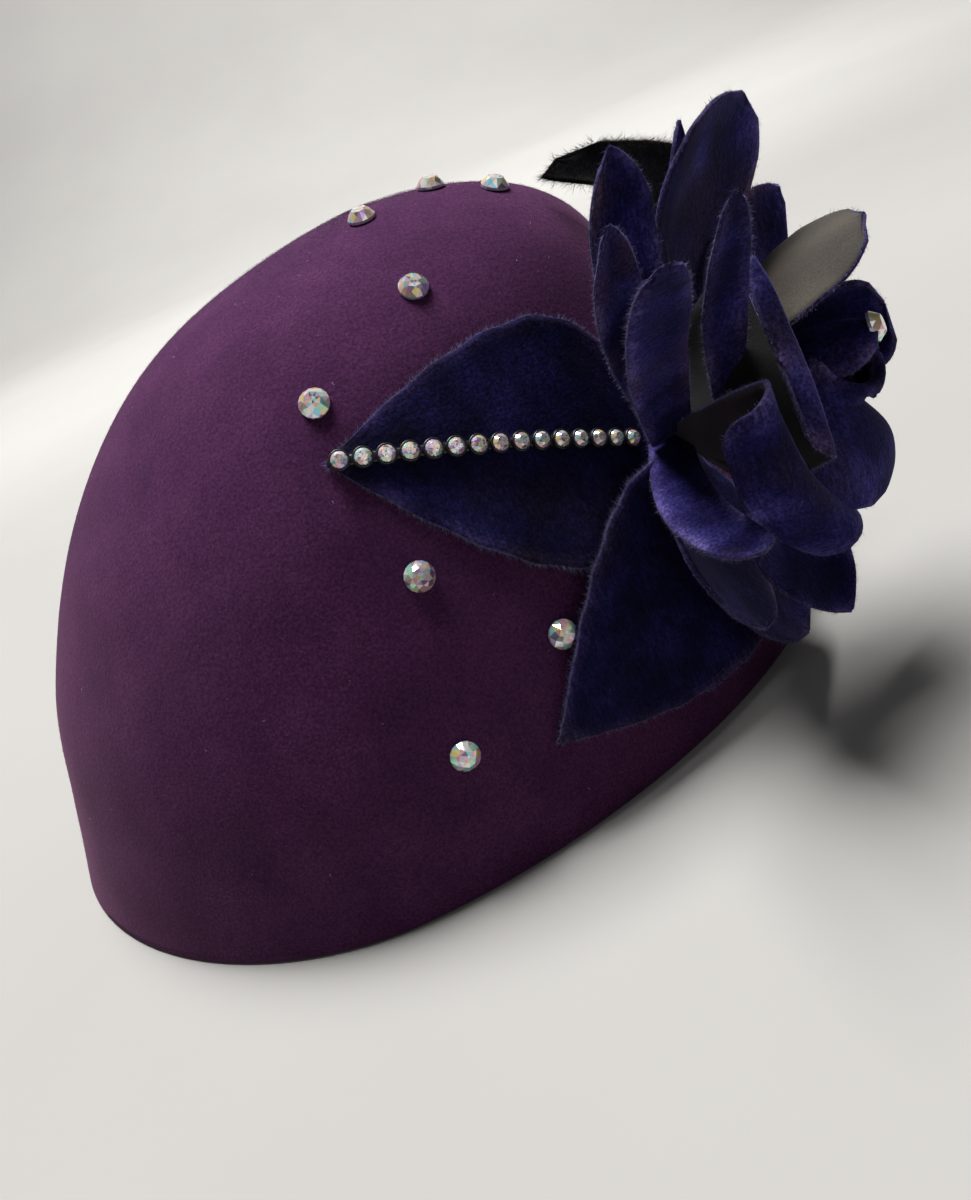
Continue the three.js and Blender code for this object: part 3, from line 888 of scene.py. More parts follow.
@dataclass
class FeltCrown:
    """The blocked felt shell with its rounded cut edge and loose fibres."""

    form: CrownForm
    columns: int = 220
    rings: int = 84
    edge: float = 0.7
    unevenness: float = 0.35
    fuzz: int = 42000
    lint: int = 420

    def surface(self, grow: float) -> np.ndarray:
        """Returns one side of the felt.

        Args:
            grow: how far outside the outer face it lies.

        Returns:
            Rows of points, from just above the rim to the top.
        """
        lowest = self.edge / CROWN_HEIGHT / (len(CROWN_ROWS) - 1) / CROWN_ROWS[1][0]
        share = np.linspace(lowest, 0.9995, self.rings)[:, None]
        around = np.arange(self.columns)[None, :] * 360 / self.columns
        points = self.form.point(around, share, grow)
        relief = waves(points, 48.0, 5) * self.unevenness + waves(points, 19.0, 6) * self.unevenness * 0.3
        keep = np.clip(share / 0.1, 0, 1)
        return points + self.form.normal(around, share) * (relief * keep)[..., None]

    def build(self, felt: bpy.types.Material, fuzz: bpy.types.Material, lint: bpy.types.Material) -> None:
        """Builds the shell and its fibres.

        Args:
            felt: the wool's finish.
            fuzz: the finish of loose wool fibres.
            lint: the finish of pale specks.
        """
        parts = MeshParts()
        outside, inside = self.surface(0.0), self.surface(-FELT)
        steps = np.linspace(0, 1, 9)[:, None, None]
        rim = outside[0][None] + (inside[0] - outside[0])[None] * steps
        rim[..., 2] = self.edge * (1 - np.sin(np.pi * steps[..., 0]))
        parts.add_grid(outside, wrap=True)
        parts.add_grid(inside, flip=True, wrap=True)
        parts.add_grid(rim, flip=True, wrap=True)
        parts.add_cap(outside[-1], self.form.point(0.0, 1.0, 0.0))
        parts.add_cap(inside[-1], self.form.point(0.0, 1.0, -FELT), flip=True)
        shell = parts.build("felt_crown_shell", [felt])
        weld(shell)
        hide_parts("felt_crown")
        self.add_fibres(fuzz, lint)

    def add_fibres(self, fuzz: bpy.types.Material, lint: bpy.types.Material) -> None:
        """Scatters wool fibres and pale specks over the outside.

        Args:
            fuzz: the finish of loose wool fibres.
            lint: the finish of pale specks.
        """
        for name, count, length, width, finish, lean in (
            ("felt_fuzz", self.fuzz, 1.0, 0.055, fuzz, 0.35),
            ("felt_lint", self.lint, 1.1, 0.11, lint, 0.12),
        ):
            rng = np.random.default_rng(count)
            around, share = rng.uniform(0, 360, count), rng.uniform(0.004, 1, count) ** 0.75
            roots = self.form.point(around, share, 0.05)
            outward = self.form.normal(around, np.clip(share, 0.02, 0.98))
            flat = unit(np.cross(outward, rng.normal(size=roots.shape)))
            parts = MeshParts()
            lengths = rng.uniform(0.4, 1, count) * length
            parts.add_strands(roots, unit(flat + outward * lean), lengths, width, count)
            piece = parts.build(name, [finish])


def weld(piece: bpy.types.Object) -> None:
    """Joins a piece's points that lie in the same place.

    Args:
        piece: the piece, whose mesh is changed.
    """
    work = bmesh.new()
    work.from_mesh(piece.data)
    bmesh.ops.remove_doubles(work, verts=work.verts, dist=SAME_PLACE)
    work.to_mesh(piece.data)
    work.free()
    piece.data.update()


@dataclass
class SoftSheet:
    """A cut piece of velvet about a middle surface, with a soft edge and frayed fibres."""

    name: str
    grid: np.ndarray
    thickness: float = VELVET
    fray: float = 12.0
    fray_length: float = 1.15
    fibre_width: float = 0.1
    splay: float = 0.55
    bulge: float = 0.6
    # How wide and how strong the painted highlight along the margin is.
    highlight_margin: float = 1.9
    highlight_tint: tuple[float, float, float] = (3.4, 3.0, 1.1)
    seed: int = 1
    fringe: bpy.types.Object | None = None

    def normals(self) -> np.ndarray:
        """Returns directions square to the surface."""
        return unit(np.cross(np.gradient(self.grid, axis=1), np.gradient(self.grid, axis=0)))

    def rim(self) -> list[tuple[int, int]]:
        """Returns the rows and columns around the margin, in order."""
        rows, columns = self.grid.shape[:2]
        around = [(0, column) for column in range(columns - 1)]
        around += [(row, columns - 1) for row in range(rows - 1)]
        around += [(rows - 1, column) for column in range(columns - 1, 0, -1)]
        return around + [(row, 0) for row in range(rows - 1, 0, -1)]

    def margin_tints(self, rim: Sequence[tuple[int, int]]) -> np.ndarray:
        """Returns tints that are paler and greyer near the cut margin: a painted highlight for the pile's
        sheen where it turns over the edge.

        Args:
            rim: the rows and columns around the margin.

        Returns:
            A tint for each point.
        """
        free = np.array([self.grid[place] for place in rim if place[0] > 0])
        away = np.linalg.norm(self.grid[:, :, None] - free, axis=-1).min(axis=-1)
        edge_highlight = np.exp(-((away / self.highlight_margin) ** 2)) * (0.75 + 0.45 * waves(self.grid, 8.0, self.seed))
        return 1 + edge_highlight[..., None] * np.array(self.highlight_tint)

    def declare(self) -> None:
        """Measures the width and the length that the sheet was cut to; nothing further is done with them.
        """
        width = np.linalg.norm(np.diff(self.grid, axis=1), axis=-1).sum(axis=1).max() * MM
        length = np.linalg.norm(np.diff(self.grid, axis=0), axis=-1).sum(axis=0).max() * MM

    def build(self, materials: Sequence[bpy.types.Material], slot: str) -> bpy.types.Object:
        """Builds the sheet.

        Args:
            materials: the finishes of its outer side, its inner side, its edge and its fibres.
            slot: not used.

        Returns:
            The new object.
        """
        parts = MeshParts()
        normals = self.normals()
        half = self.thickness / 2
        rows, columns = self.grid.shape[:2]
        rim = self.rim()
        # Both faces take the painted highlight that pales them towards the margin.
        tints = self.margin_tints(rim)
        upper = parts.add_grid(self.grid + normals * half, 0, tints=tints)
        lower = parts.add_grid(self.grid - normals * half, 1, flip=True, tints=tints)
        centre = self.grid[rows // 2, columns // 2]
        edge = np.array([self.grid[place] for place in rim])
        inner = np.array([
            self.grid[min(max(row, 1), rows - 2), min(max(column, 1), columns - 2)] for row, column in rim
        ])
        outward = unit(edge - inner + (edge - centre) * 1e-3)
        bulge = parts.add_points(edge + outward * half * self.bulge)
        count = len(rim)
        index = [row * columns + column for row, column in rim]
        for here in range(count):
            after = (here + 1) % count
            parts.add_face((upper + index[after], upper + index[here], bulge + here, bulge + after), 2)
            parts.add_face((bulge + after, bulge + here, lower + index[here], lower + index[after]), 2)
        piece = parts.build(self.name, materials[:3])
        if self.fray:
            fibres = MeshParts()
            self.add_fray(fibres, edge, outward, np.array([normals[place] for place in rim]))
            self.fringe = fibres.build(self.name + "_fray", materials[3:])
        return piece

    def add_fray(self, parts: MeshParts, edge: np.ndarray, outward: np.ndarray, normals: np.ndarray) -> None:
        """Adds the cut edge's loose fibres.

        Args:
            parts: where the fibres go.
            edge: points along the margin.
            outward: which way is out of the sheet at each of them.
            normals: the directions square to the sheet there.
        """
        rng = np.random.default_rng(self.seed)
        following = np.roll(edge, -1, axis=0)
        lengths = np.linalg.norm(following - edge, axis=1)
        count = int(lengths.sum() * self.fray)
        which = rng.choice(len(edge), count, p=lengths / lengths.sum())
        share = rng.uniform(0, 1, (count, 1))
        roots = edge[which] * (1 - share) + following[which] * share
        offset = rng.uniform(-0.45, 0.45, (count, 1)) * self.thickness
        roots = roots + normals[which] * offset + outward[which] * 0.1
        along = unit(following - edge)[which] * rng.normal(size=(count, 1)) * self.splay
        direction = unit(outward[which] + along + normals[which] * offset * 1.1)
        longs = rng.uniform(0.3, 1, count) ** 1.6 * self.fray_length * 1.3
        parts.add_strands(roots, direction, longs, self.fibre_width, self.seed)


@dataclass
class Rose:
    """The velvet rose: its place on the crown and its petals."""

    form: CrownForm
    across: int = 20
    along: int = 30
    lip_steps: int = 12
    ripple: float = 0.7
    long_wave: float = 21.0
    short_wave: float = 9.0
    ragged: tuple[float, float] = (24.0, 2.6)
    folds: int = 7
    blunt_tip: float = 2.6
    sharpening: float = 1.4
    least_width: float = 0.03
    clearing_tries: int = 24
    clearing_step: float = 0.5

    def __post_init__(self) -> None:
        """Works out the rose's own directions and its root."""
        azimuth, tilt = math.radians(ROSE_AZIMUTH), math.radians(ROSE_TILT)
        self.axis = np.array(
            [math.cos(azimuth) * math.cos(tilt), math.sin(azimuth) * math.cos(tilt), math.sin(tilt)]
        )
        self.up = unit(np.array([0, 0, 1.0]) - self.axis * self.axis[2])
        self.near = np.cross(self.axis, self.up)
        self.root = self.form.point(ROSE_AROUND, ROSE_UP_CROWN) - self.axis * ROSE_SUNK

    def direction(self, around: float) -> np.ndarray:
        """Returns the direction square to the axis at degrees around it."""
        return self.up * math.cos(math.radians(around)) + self.near * math.sin(math.radians(around))

    def place(self, around: float, out: float, up: float) -> np.ndarray:
        """Returns a place in the rose from shares of its radius and depth."""
        return self.root + self.axis * up * ROSE_DEPTH + self.direction(around) * out * ROSE_RADIUS

    def half_width(self, share: np.ndarray, row: PetalRow) -> np.ndarray:
        """Returns half the width of a petal along its length.

        Args:
            share: the share of the way along it.
            row: the petal.

        Returns:
            Shares of its greatest half width.
        """
        widest, narrow = row.widest, row.root_width
        rising = narrow + (1 - narrow) * np.sin(np.pi / 2 * np.clip(share / widest, 0, 1))
        power = self.blunt_tip - self.sharpening * row.point
        past = np.clip((share - widest) / (1 - widest), 0, 1)
        falling = np.maximum((1 - past**power) ** (1 / max(1.0, power * 0.85)), self.least_width)
        return np.where(share < widest, rising, falling)

    def spine(
        self, row: PetalRow, root: np.ndarray, chord: np.ndarray, face: np.ndarray, across: np.ndarray
    ) -> np.ndarray:
        """Returns a petal's middle line.

        Args:
            row: the petal.
            root: where it starts.
            chord: from its root to its tip.
            face: the direction out of its inner side.
            across: the direction over its width.

        Returns:
            Points along the line, with the lip's last.
        """
        share = np.linspace(0, 1, self.along - (self.lip_steps if row.lip else 0) + 1)[:, None]
        swell = np.sin(np.pi * share) * ROSE_RADIUS
        line = root + chord * share - face * row.bow * swell + across * row.sway * swell
        if not row.lip:
            return line
        end = unit(line[-1] - line[-2])
        outward = unit(face - end * (face @ end))
        middles = (np.arange(self.lip_steps) + 0.5) / self.lip_steps
        turns = np.radians(row.lip_turn) * np.minimum(1, 1.3 * (middles + 1 / 6))[:, None]
        steps = (end * np.cos(turns) - outward * np.sin(turns)) * row.lip * PETAL_WIDTH / self.lip_steps
        return np.vstack([line, line[-1] + np.cumsum(steps, axis=0)])

    def profile(self, row: PetalRow) -> np.ndarray:
        """Returns the line over a petal's width, cupped and rolled.

        Args:
            row: the petal.

        Returns:
            How far to the side and how high each point lies, as shares of the half width.
        """
        u = np.linspace(-1, 1, self.across + 1)
        angle = np.radians(row.cup) * u - np.radians(row.roll) * signed_power(u, 3)
        step = u[1] - u[0]
        turns = np.stack([np.cos(angle), np.sin(angle)])
        side, height = np.cumsum(np.pad((turns[:, 1:] + turns[:, :-1]) / 2 * step, ((0, 0), (1, 0))), axis=1)
        middle = self.across // 2
        return np.stack([side - side[middle], height - height[middle]], axis=1)

    def grid(self, row: PetalRow) -> np.ndarray:
        """Returns a petal's middle surface.

        Args:
            row: the petal.

        Returns:
            Rows of points, from its root to its tip.
        """
        root = self.place(row.root_around, row.root_out, row.root_up)
        chord = self.place(row.tip_around, row.tip_out, row.tip_up) - root
        along = unit(chord)
        away = self.direction(row.tip_around)
        opening = math.atan2(along @ away, along @ self.axis)
        inward = self.axis * math.sin(opening) - away * math.cos(opening)
        inward = unit(inward - along * (inward @ along))
        turned = Matrix.Rotation(-math.radians(row.facing), 3, Vector(along)) @ Vector(inward)
        face = np.array(turned)
        across = np.cross(face, along)
        line = self.spine(row, root, chord, face, across)
        runs = np.concatenate([[0], np.cumsum(np.linalg.norm(np.diff(line, axis=0), axis=1))])
        half = self.half_width(runs / runs[-1], row) * row.width * PETAL_WIDTH / 2
        tangent = unit(np.gradient(line, axis=0))
        rise = np.repeat(face[None], len(line), 0) if row.lip else np.cross(tangent, across)
        side, height = self.profile(row).T
        flat = line[:, None] + across * (half[:, None] * side)[..., None]
        return flat + rise[:, None] * (half[:, None] * height)[..., None]

    def rippled(self, grid: np.ndarray, seed: int) -> np.ndarray:
        """Gives a petal's surface the soft waves of stiffened cloth, least at its root.

        Args:
            grid: the surface.
            seed: what the waves are drawn from.

        Returns:
            The waved surface.
        """
        normals = unit(np.cross(np.gradient(grid, axis=1), np.gradient(grid, axis=0)))
        rows, columns = grid.shape[:2]
        along = np.linspace(0, 1, rows)[:, None]
        margin = np.abs(np.linspace(-1, 1, columns))[None, :]
        amount = self.ripple * along**0.7 * (0.45 + 0.75 * margin**2)
        relief = waves(grid, self.long_wave, seed) * 1.2 + waves(grid, self.short_wave, seed + 50) * 0.45
        return grid + normals * (relief * amount)[..., None]

    def clear_of_felt(self, grid: np.ndarray) -> np.ndarray:
        """Moves points that would sink into the crown out along the rose's axis.

        Args:
            grid: a petal's middle surface.

        Returns:
            The surface clear of the crown.
        """
        moved = grid.copy()
        for _ in range(self.clearing_tries):
            sunk = self.form.inside(moved, VELVET / 2 + CLEARANCE)
            if not sunk.any():
                break
            moved[sunk] += self.axis * self.clearing_step
        return moved

    def build(self, finishes: dict[str, bpy.types.Material]) -> None:
        """Builds the core and every petal.

        Args:
            finishes: the materials by name.
        """
        self.build_core(finishes["velvet"])
        for number, row in enumerate(PETAL_ROWS):
            grid = self.clear_of_felt(self.rippled(self.grid(row), 11 * number + 3))
            outer = finishes["velvet" if row.backing is Side.NEITHER else row.backing_finish]
            inner = finishes[row.backing_finish if row.backing is Side.BOTH else "velvet"]
            sheet = SoftSheet(row.name + "_velvet", grid, seed=number + 1)
            edge, fibre = finishes["edge"], finishes["fibre"]
            if row.backing is Side.BOTH:
                sheet.fray, sheet.fray_length = self.ragged
                edge = fibre = outer
            piece = sheet.build([outer, inner, edge, fibre], "velvet")
            sheet.declare()
            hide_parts(row.name)

    def build_core(self, velvet: bpy.types.Material) -> None:
        """Builds the gathered middle of the rose with its folds.

        Args:
            velvet: its finish.
        """
        turns, steps = 60, 24
        angle = np.arange(turns) * 2 * np.pi / turns
        share = np.linspace(0, 1, steps)[:, None]
        radius = CORE_ROOT_RADIUS + (CORE_TIP_RADIUS - CORE_ROOT_RADIUS) * share
        radius = radius * (1 + 0.1 * np.sin(self.folds * angle + 4 * share) - 0.06)
        first = self.up * np.cos(angle)[:, None] + self.near * np.sin(angle)[:, None]
        along = self.axis * (share * ROSE_DEPTH)[..., None]
        grid = self.root + along + first[None] * radius[..., None]
        parts = MeshParts()
        parts.add_grid(grid, wrap=True)
        parts.add_cap(grid[0], grid[0].mean(axis=0), flip=True)
        parts.add_cap(grid[-1], grid[-1].mean(axis=0))
        piece = parts.build("rose_core_folds", [velvet])
        weld(piece)
        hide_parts("rose_core")


@dataclass
class CutStone:
    """A flat-backed cut stone: a girdle, facets in two rows and a table."""

    width: float
    depth: float
    seed: int
    sides: int = 16
    girdle_height: float = 0.25
    crown_reach: float = 0.78
    crown_height: float = 0.66
    table_reach: float = 0.56
    star_reach: float = 0.26

    BACK_TINT = (0.3, 0.3, 0.35)
    GIRDLE_TINT = (0.5, 0.5, 0.55)
    # The coat's rainbow colours, with painted reflections among them: near-white and dark grey facets.
    COAT_AND_REFLECTION_TINTS = (
        (0.95, 0.93, 0.9), (0.92, 0.5, 0.58), (0.95, 0.78, 0.32), (0.35, 0.78, 0.88), (0.72, 0.5, 0.88),
        (0.22, 0.2, 0.26), (0.98, 0.96, 0.94), (0.6, 0.42, 0.4), (0.5, 0.88, 0.62), (0.95, 0.66, 0.5),
    )

    def add_to(self, parts: MeshParts, place: np.ndarray, direction: np.ndarray) -> None:
        """Adds the stone to a mesh.

        Args:
            parts: where it goes.
            place: the middle of its flat back, in millimetres.
            direction: which way it faces.
        """
        rng = np.random.default_rng(self.seed)
        turn = turn_to(direction)
        sides, mains, radius = self.sides, self.sides // 2, self.width / 2

        def ring(share: float, height: float, count: int, offset: float) -> np.ndarray:
            """Returns a level ring of points.

            Args:
                share: its reach, as a share of the stone's.
                height: how high it lies.
                count: how many points it has.
                offset: how far it is turned, in points.

            Returns:
                The points.
            """
            angle = (np.arange(count) + offset) * 2 * np.pi / count
            flat = [np.cos(angle) * radius * share, np.sin(angle) * radius * share, np.full(count, height)]
            return np.stack(flat, axis=1) @ turn.T + place

        low = parts.add_points(ring(1.0, 0.0, sides, 0))
        girdle = parts.add_points(ring(1.0, self.depth * self.girdle_height, sides, 0))
        crown = parts.add_points(ring(self.crown_reach, self.depth * self.crown_height, mains, 0.5))
        table = parts.add_points(ring(self.table_reach, self.depth, mains, 0))
        star = parts.add_points(ring(self.star_reach, self.depth, mains, 0.5))
        back = parts.add_points(place)
        top = parts.add_points(place + direction * self.depth)

        def add_facet(*face: int) -> None:
            """Adds a facet with a tint of its own, drawn from the coat's colours and the painted reflections.
            """
            parts.add_face(face, tint=self.COAT_AND_REFLECTION_TINTS[int(rng.integers(len(self.COAT_AND_REFLECTION_TINTS)))])

        for index in range(sides):
            after = (index + 1) % sides
            parts.add_face((back, low + after, low + index), tint=self.BACK_TINT)
            wall = (low + index, low + after, girdle + after, girdle + index)
            parts.add_face(wall, tint=self.GIRDLE_TINT)
        for index in range(mains):
            after, before = (index + 1) % mains, (index - 1) % mains
            start, half, end = girdle + 2 * index, girdle + 2 * index + 1, girdle + (2 * index + 2) % sides
            add_facet(start, half, crown + index)
            add_facet(half, end, crown + index)
            add_facet(start, crown + index, table + index, crown + before)
            add_facet(crown + index, table + after, table + index)
            # The table is split into triangles with tints of their own: painted reflections of the pavilion
            # seen through it.
            add_facet(table + index, table + after, star + index)
            add_facet(star + index, table + after, star + after)
            add_facet(star + index, star + after, top)


@dataclass
class Leaf:
    """A velvet leaf that lies on the felt."""

    form: CrownForm
    row: LeafRow
    across: int = 40
    along: int = 56
    fray: float = 16.0
    fray_length: float = 1.5
    scallop: float = 0.3
    scallops: float = 6.5
    vein: float = 0.28
    veins: float = 9.0
    vein_spread: float = 11.0
    vein_width: float = 0.09
    midrib_width: float = 1.3
    falling_power: float = 1.6
    least_width: float = 0.02

    def __post_init__(self) -> None:
        """Works out the leaf's root, chord and directions."""
        row = self.row
        self.root = self.form.point(row.around, row.up_crown)
        self.chord = self.form.point(row.tip_around, row.tip_up_crown) - self.root
        outward = self.form.normal(row.around, row.up_crown)
        outward = outward + self.form.normal(row.tip_around, row.tip_up_crown)
        outward = outward - self.chord * (outward @ self.chord) / (self.chord @ self.chord)
        self.outward = unit(outward)
        self.sideways = unit(np.cross(self.outward, self.chord))

    def half_width(self, share: np.ndarray) -> np.ndarray:
        """Returns half the width of the leaf along its length.

        Args:
            share: the share of the way along it.

        Returns:
            Shares of its greatest half width.
        """
        start, widest = self.row.root_width, self.row.widest
        rising = start + (1 - start) * np.sin(np.pi / 2 * np.clip(share / widest, 0, 1))
        past = np.clip((share - widest) / (1 - widest), 0, 1)
        falling = np.maximum(1 - past**self.falling_power, self.least_width)
        return np.where(share < widest, rising, falling)

    def over(self, share: np.ndarray, sideways: np.ndarray, height: np.ndarray) -> np.ndarray:
        """Returns points over the felt.

        Args:
            share: shares of the leaf's length.
            sideways: how far to the leaf's side they lie, in millimetres.
            height: how far off the felt they lie.

        Returns:
            The points.
        """
        flat = self.root + self.chord * share[..., None] + self.sideways * sideways[..., None]
        return self.form.drop(flat, self.outward, height)

    def grid(self) -> np.ndarray:
        """Returns the leaf's middle surface with its veins and waved margin.

        Returns:
            Rows of points, from its root to its tip.
        """
        share = np.linspace(0, 1, self.along + 1)[:, None]
        u = np.linspace(-1, 1, self.across + 1)[None, :]
        half = self.half_width(share) * self.row.width * LEAF_WIDTH / 2
        wave = self.scallop * np.sin(share * 2 * np.pi * self.scallops + u * 1.3) * np.sin(np.pi * share)
        sideways = u * (half + wave * np.abs(u))
        curl = LEAF_CURL * (2 * sideways / LEAF_WIDTH) ** 2
        lift = self.row.lift * LEAF_OVERLAP * (1 - share) ** 0.5
        branch = (share * self.veins - np.abs(sideways) / self.vein_spread) % 1
        ridge = np.exp(-(((branch - 0.5) / self.vein_width) ** 2)) * np.clip(np.abs(sideways) / 4, 0, 1)
        midrib = np.exp(-((sideways / self.midrib_width) ** 2))
        ridge = ridge * np.clip((1 - np.abs(u)) / 0.15, 0, 1) + midrib
        height = LEAF_REST + VELVET / 2 + curl + lift + self.vein * ridge
        share, sideways = np.broadcast_arrays(share, sideways)
        return self.over(share, sideways, np.broadcast_to(height, share.shape).copy())

    def build(self, finishes: dict[str, bpy.types.Material], seed: int) -> None:
        """Builds the leaf.

        Args:
            finishes: the materials by name.
            seed: what its loose fibres are drawn from.
        """
        sheet = SoftSheet(
            self.row.name + "_velvet", self.grid(), fray=self.fray, fray_length=self.fray_length, seed=seed
        )
        finish = finishes["leaf_velvet"]
        piece = sheet.build([finish, finish, finishes["edge"], finishes["fibre"]], "velvet")
        sheet.declare()
        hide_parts(self.row.name)


@dataclass
class StoneChain:
    """The chain of small stones in round black cups along a leaf's midrib."""

    leaf: Leaf
    count: int = CHAIN_COUNT
    wall: float = 0.28
    samples: int = 201
    band_steps: int = 90
    cup_sides: int = 24

    BAND_SECTION = ((-1, -0.4), (-1, 0.1), (-0.6, 0.3), (0.6, 0.3), (1, 0.1), (1, -0.4))

    def build(self, cup: bpy.types.Material, crystal: bpy.types.Material) -> None:
        """Builds the band with its cups, and the stones.

        Args:
            cup: the band's finish.
            crystal: the stones' finish.
        """
        height = LEAF_REST + VELVET + CLEARANCE + BAND_THICK / 2
        share = np.linspace(1, 0, self.samples)
        line = self.leaf.over(share, np.zeros(self.samples), np.full(self.samples, height))
        runs = np.concatenate([[0], np.cumsum(np.linalg.norm(np.diff(line, axis=0), axis=1))])
        end = runs[-1] - CORE_ROOT_RADIUS - BAND_CUP / 2 - CLEARANCE
        places = np.linspace(CHAIN_MARGIN, end, self.count)
        band, stones = MeshParts(), MeshParts()
        band_share = np.interp(np.linspace(places[0], places[-1], self.band_steps), runs, share)
        sides = []
        for sideways, level in self.BAND_SECTION:
            offset = np.full(self.band_steps, sideways * BAND_WIDTH / 2)
            above = np.full(self.band_steps, height + level * BAND_THICK)
            sides.append(self.leaf.over(band_share, offset, above))
        band.add_grid(np.stack(sides, axis=1), wrap=True)
        for index, run in enumerate(places):
            at = np.interp(run, runs, share)
            middle, ahead, beside = self.leaf.over(
                np.array([at, at - 0.02, at]), np.array([0.0, 0.0, 1.5]), np.full(3, height)
            )
            direction = unit(np.cross(ahead - middle, beside - middle))
            if direction @ self.leaf.outward < 0:
                direction = -direction
            self.add_cup(band, middle, direction)
            base = middle + direction * (BAND_THICK / 2 + CLEARANCE)
            stone = CutStone(CHAIN_STONE, CHAIN_STONE_DEPTH, FIRST_CHAIN_SEED + index)
            stone.add_to(stones, base, direction)
        piece = band.build("chain_cups", [cup])
        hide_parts("chain_band")
        piece = stones.build("chain_crystals", [crystal], smooth=False)
        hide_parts(*[f"chain_stone_{number}" for number in range(1, self.count + 1)])

    def add_cup(self, parts: MeshParts, middle: np.ndarray, direction: np.ndarray) -> None:
        """Adds one round cup.

        Args:
            parts: the band's mesh.
            middle: where the cup sits.
            direction: which way it faces.
        """
        turn = turn_to(direction)
        inner, outer = CHAIN_STONE / 2 + 0.05, BAND_CUP / 2 + self.wall / 2
        low, high = -BAND_THICK * 0.45, BAND_THICK / 2 + CLEARANCE + CHAIN_STONE_DEPTH * 0.35
        section = (
            (outer * 0.9, low), (outer, 0.0), (outer, high * 0.8), (outer - 0.15, high), (inner, high),
            (inner, BAND_THICK / 2), (0.01, BAND_THICK / 2 - 0.05),
        )
        angle = np.arange(self.cup_sides) * 2 * np.pi / self.cup_sides
        rings = [
            np.stack([np.cos(angle) * radius, np.sin(angle) * radius, np.full(len(angle), level)], axis=1)
            for radius, level in section
        ]
        parts.add_grid(np.stack(rings) @ turn.T + middle, wrap=True)


@dataclass
class CrownStones:
    """The large stones set over the felt, and the one in the rose."""

    form: CrownForm
    rose: Rose
    rose_around: float = 350.0
    rose_out: float = 0.03
    rose_up: float = 1.0
    rose_seed: int = 90

    def build(self, crystal: bpy.types.Material) -> None:
        """Builds each stone.

        Args:
            crystal: their finish.
        """
        for number, (around, share) in enumerate(STONE_ROWS, start=1):
            direction = self.form.normal(around, share)
            self.add(f"stone_crown_{number}", self.form.point(around, share), direction, number, crystal)
        place = self.rose.place(self.rose_around, self.rose_out, self.rose_up)
        self.add("stone_rose", place, self.rose.axis, self.rose_seed, crystal)

    def add(
        self, node: str, place: np.ndarray, direction: np.ndarray, seed: int, crystal: bpy.types.Material
    ) -> None:
        """Adds one stone that stands for a solid.

        Args:
            node: the solid's name.
            place: where it sits.
            direction: which way it faces.
            seed: what its tints are drawn from.
            crystal: its finish.
        """
        parts = MeshParts()
        CutStone(STONE, STONE_DEPTH, seed).add_to(parts, place + direction * CLEARANCE, direction)
        piece = parts.build(node + "_cut", [crystal], smooth=False)
        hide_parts(node)


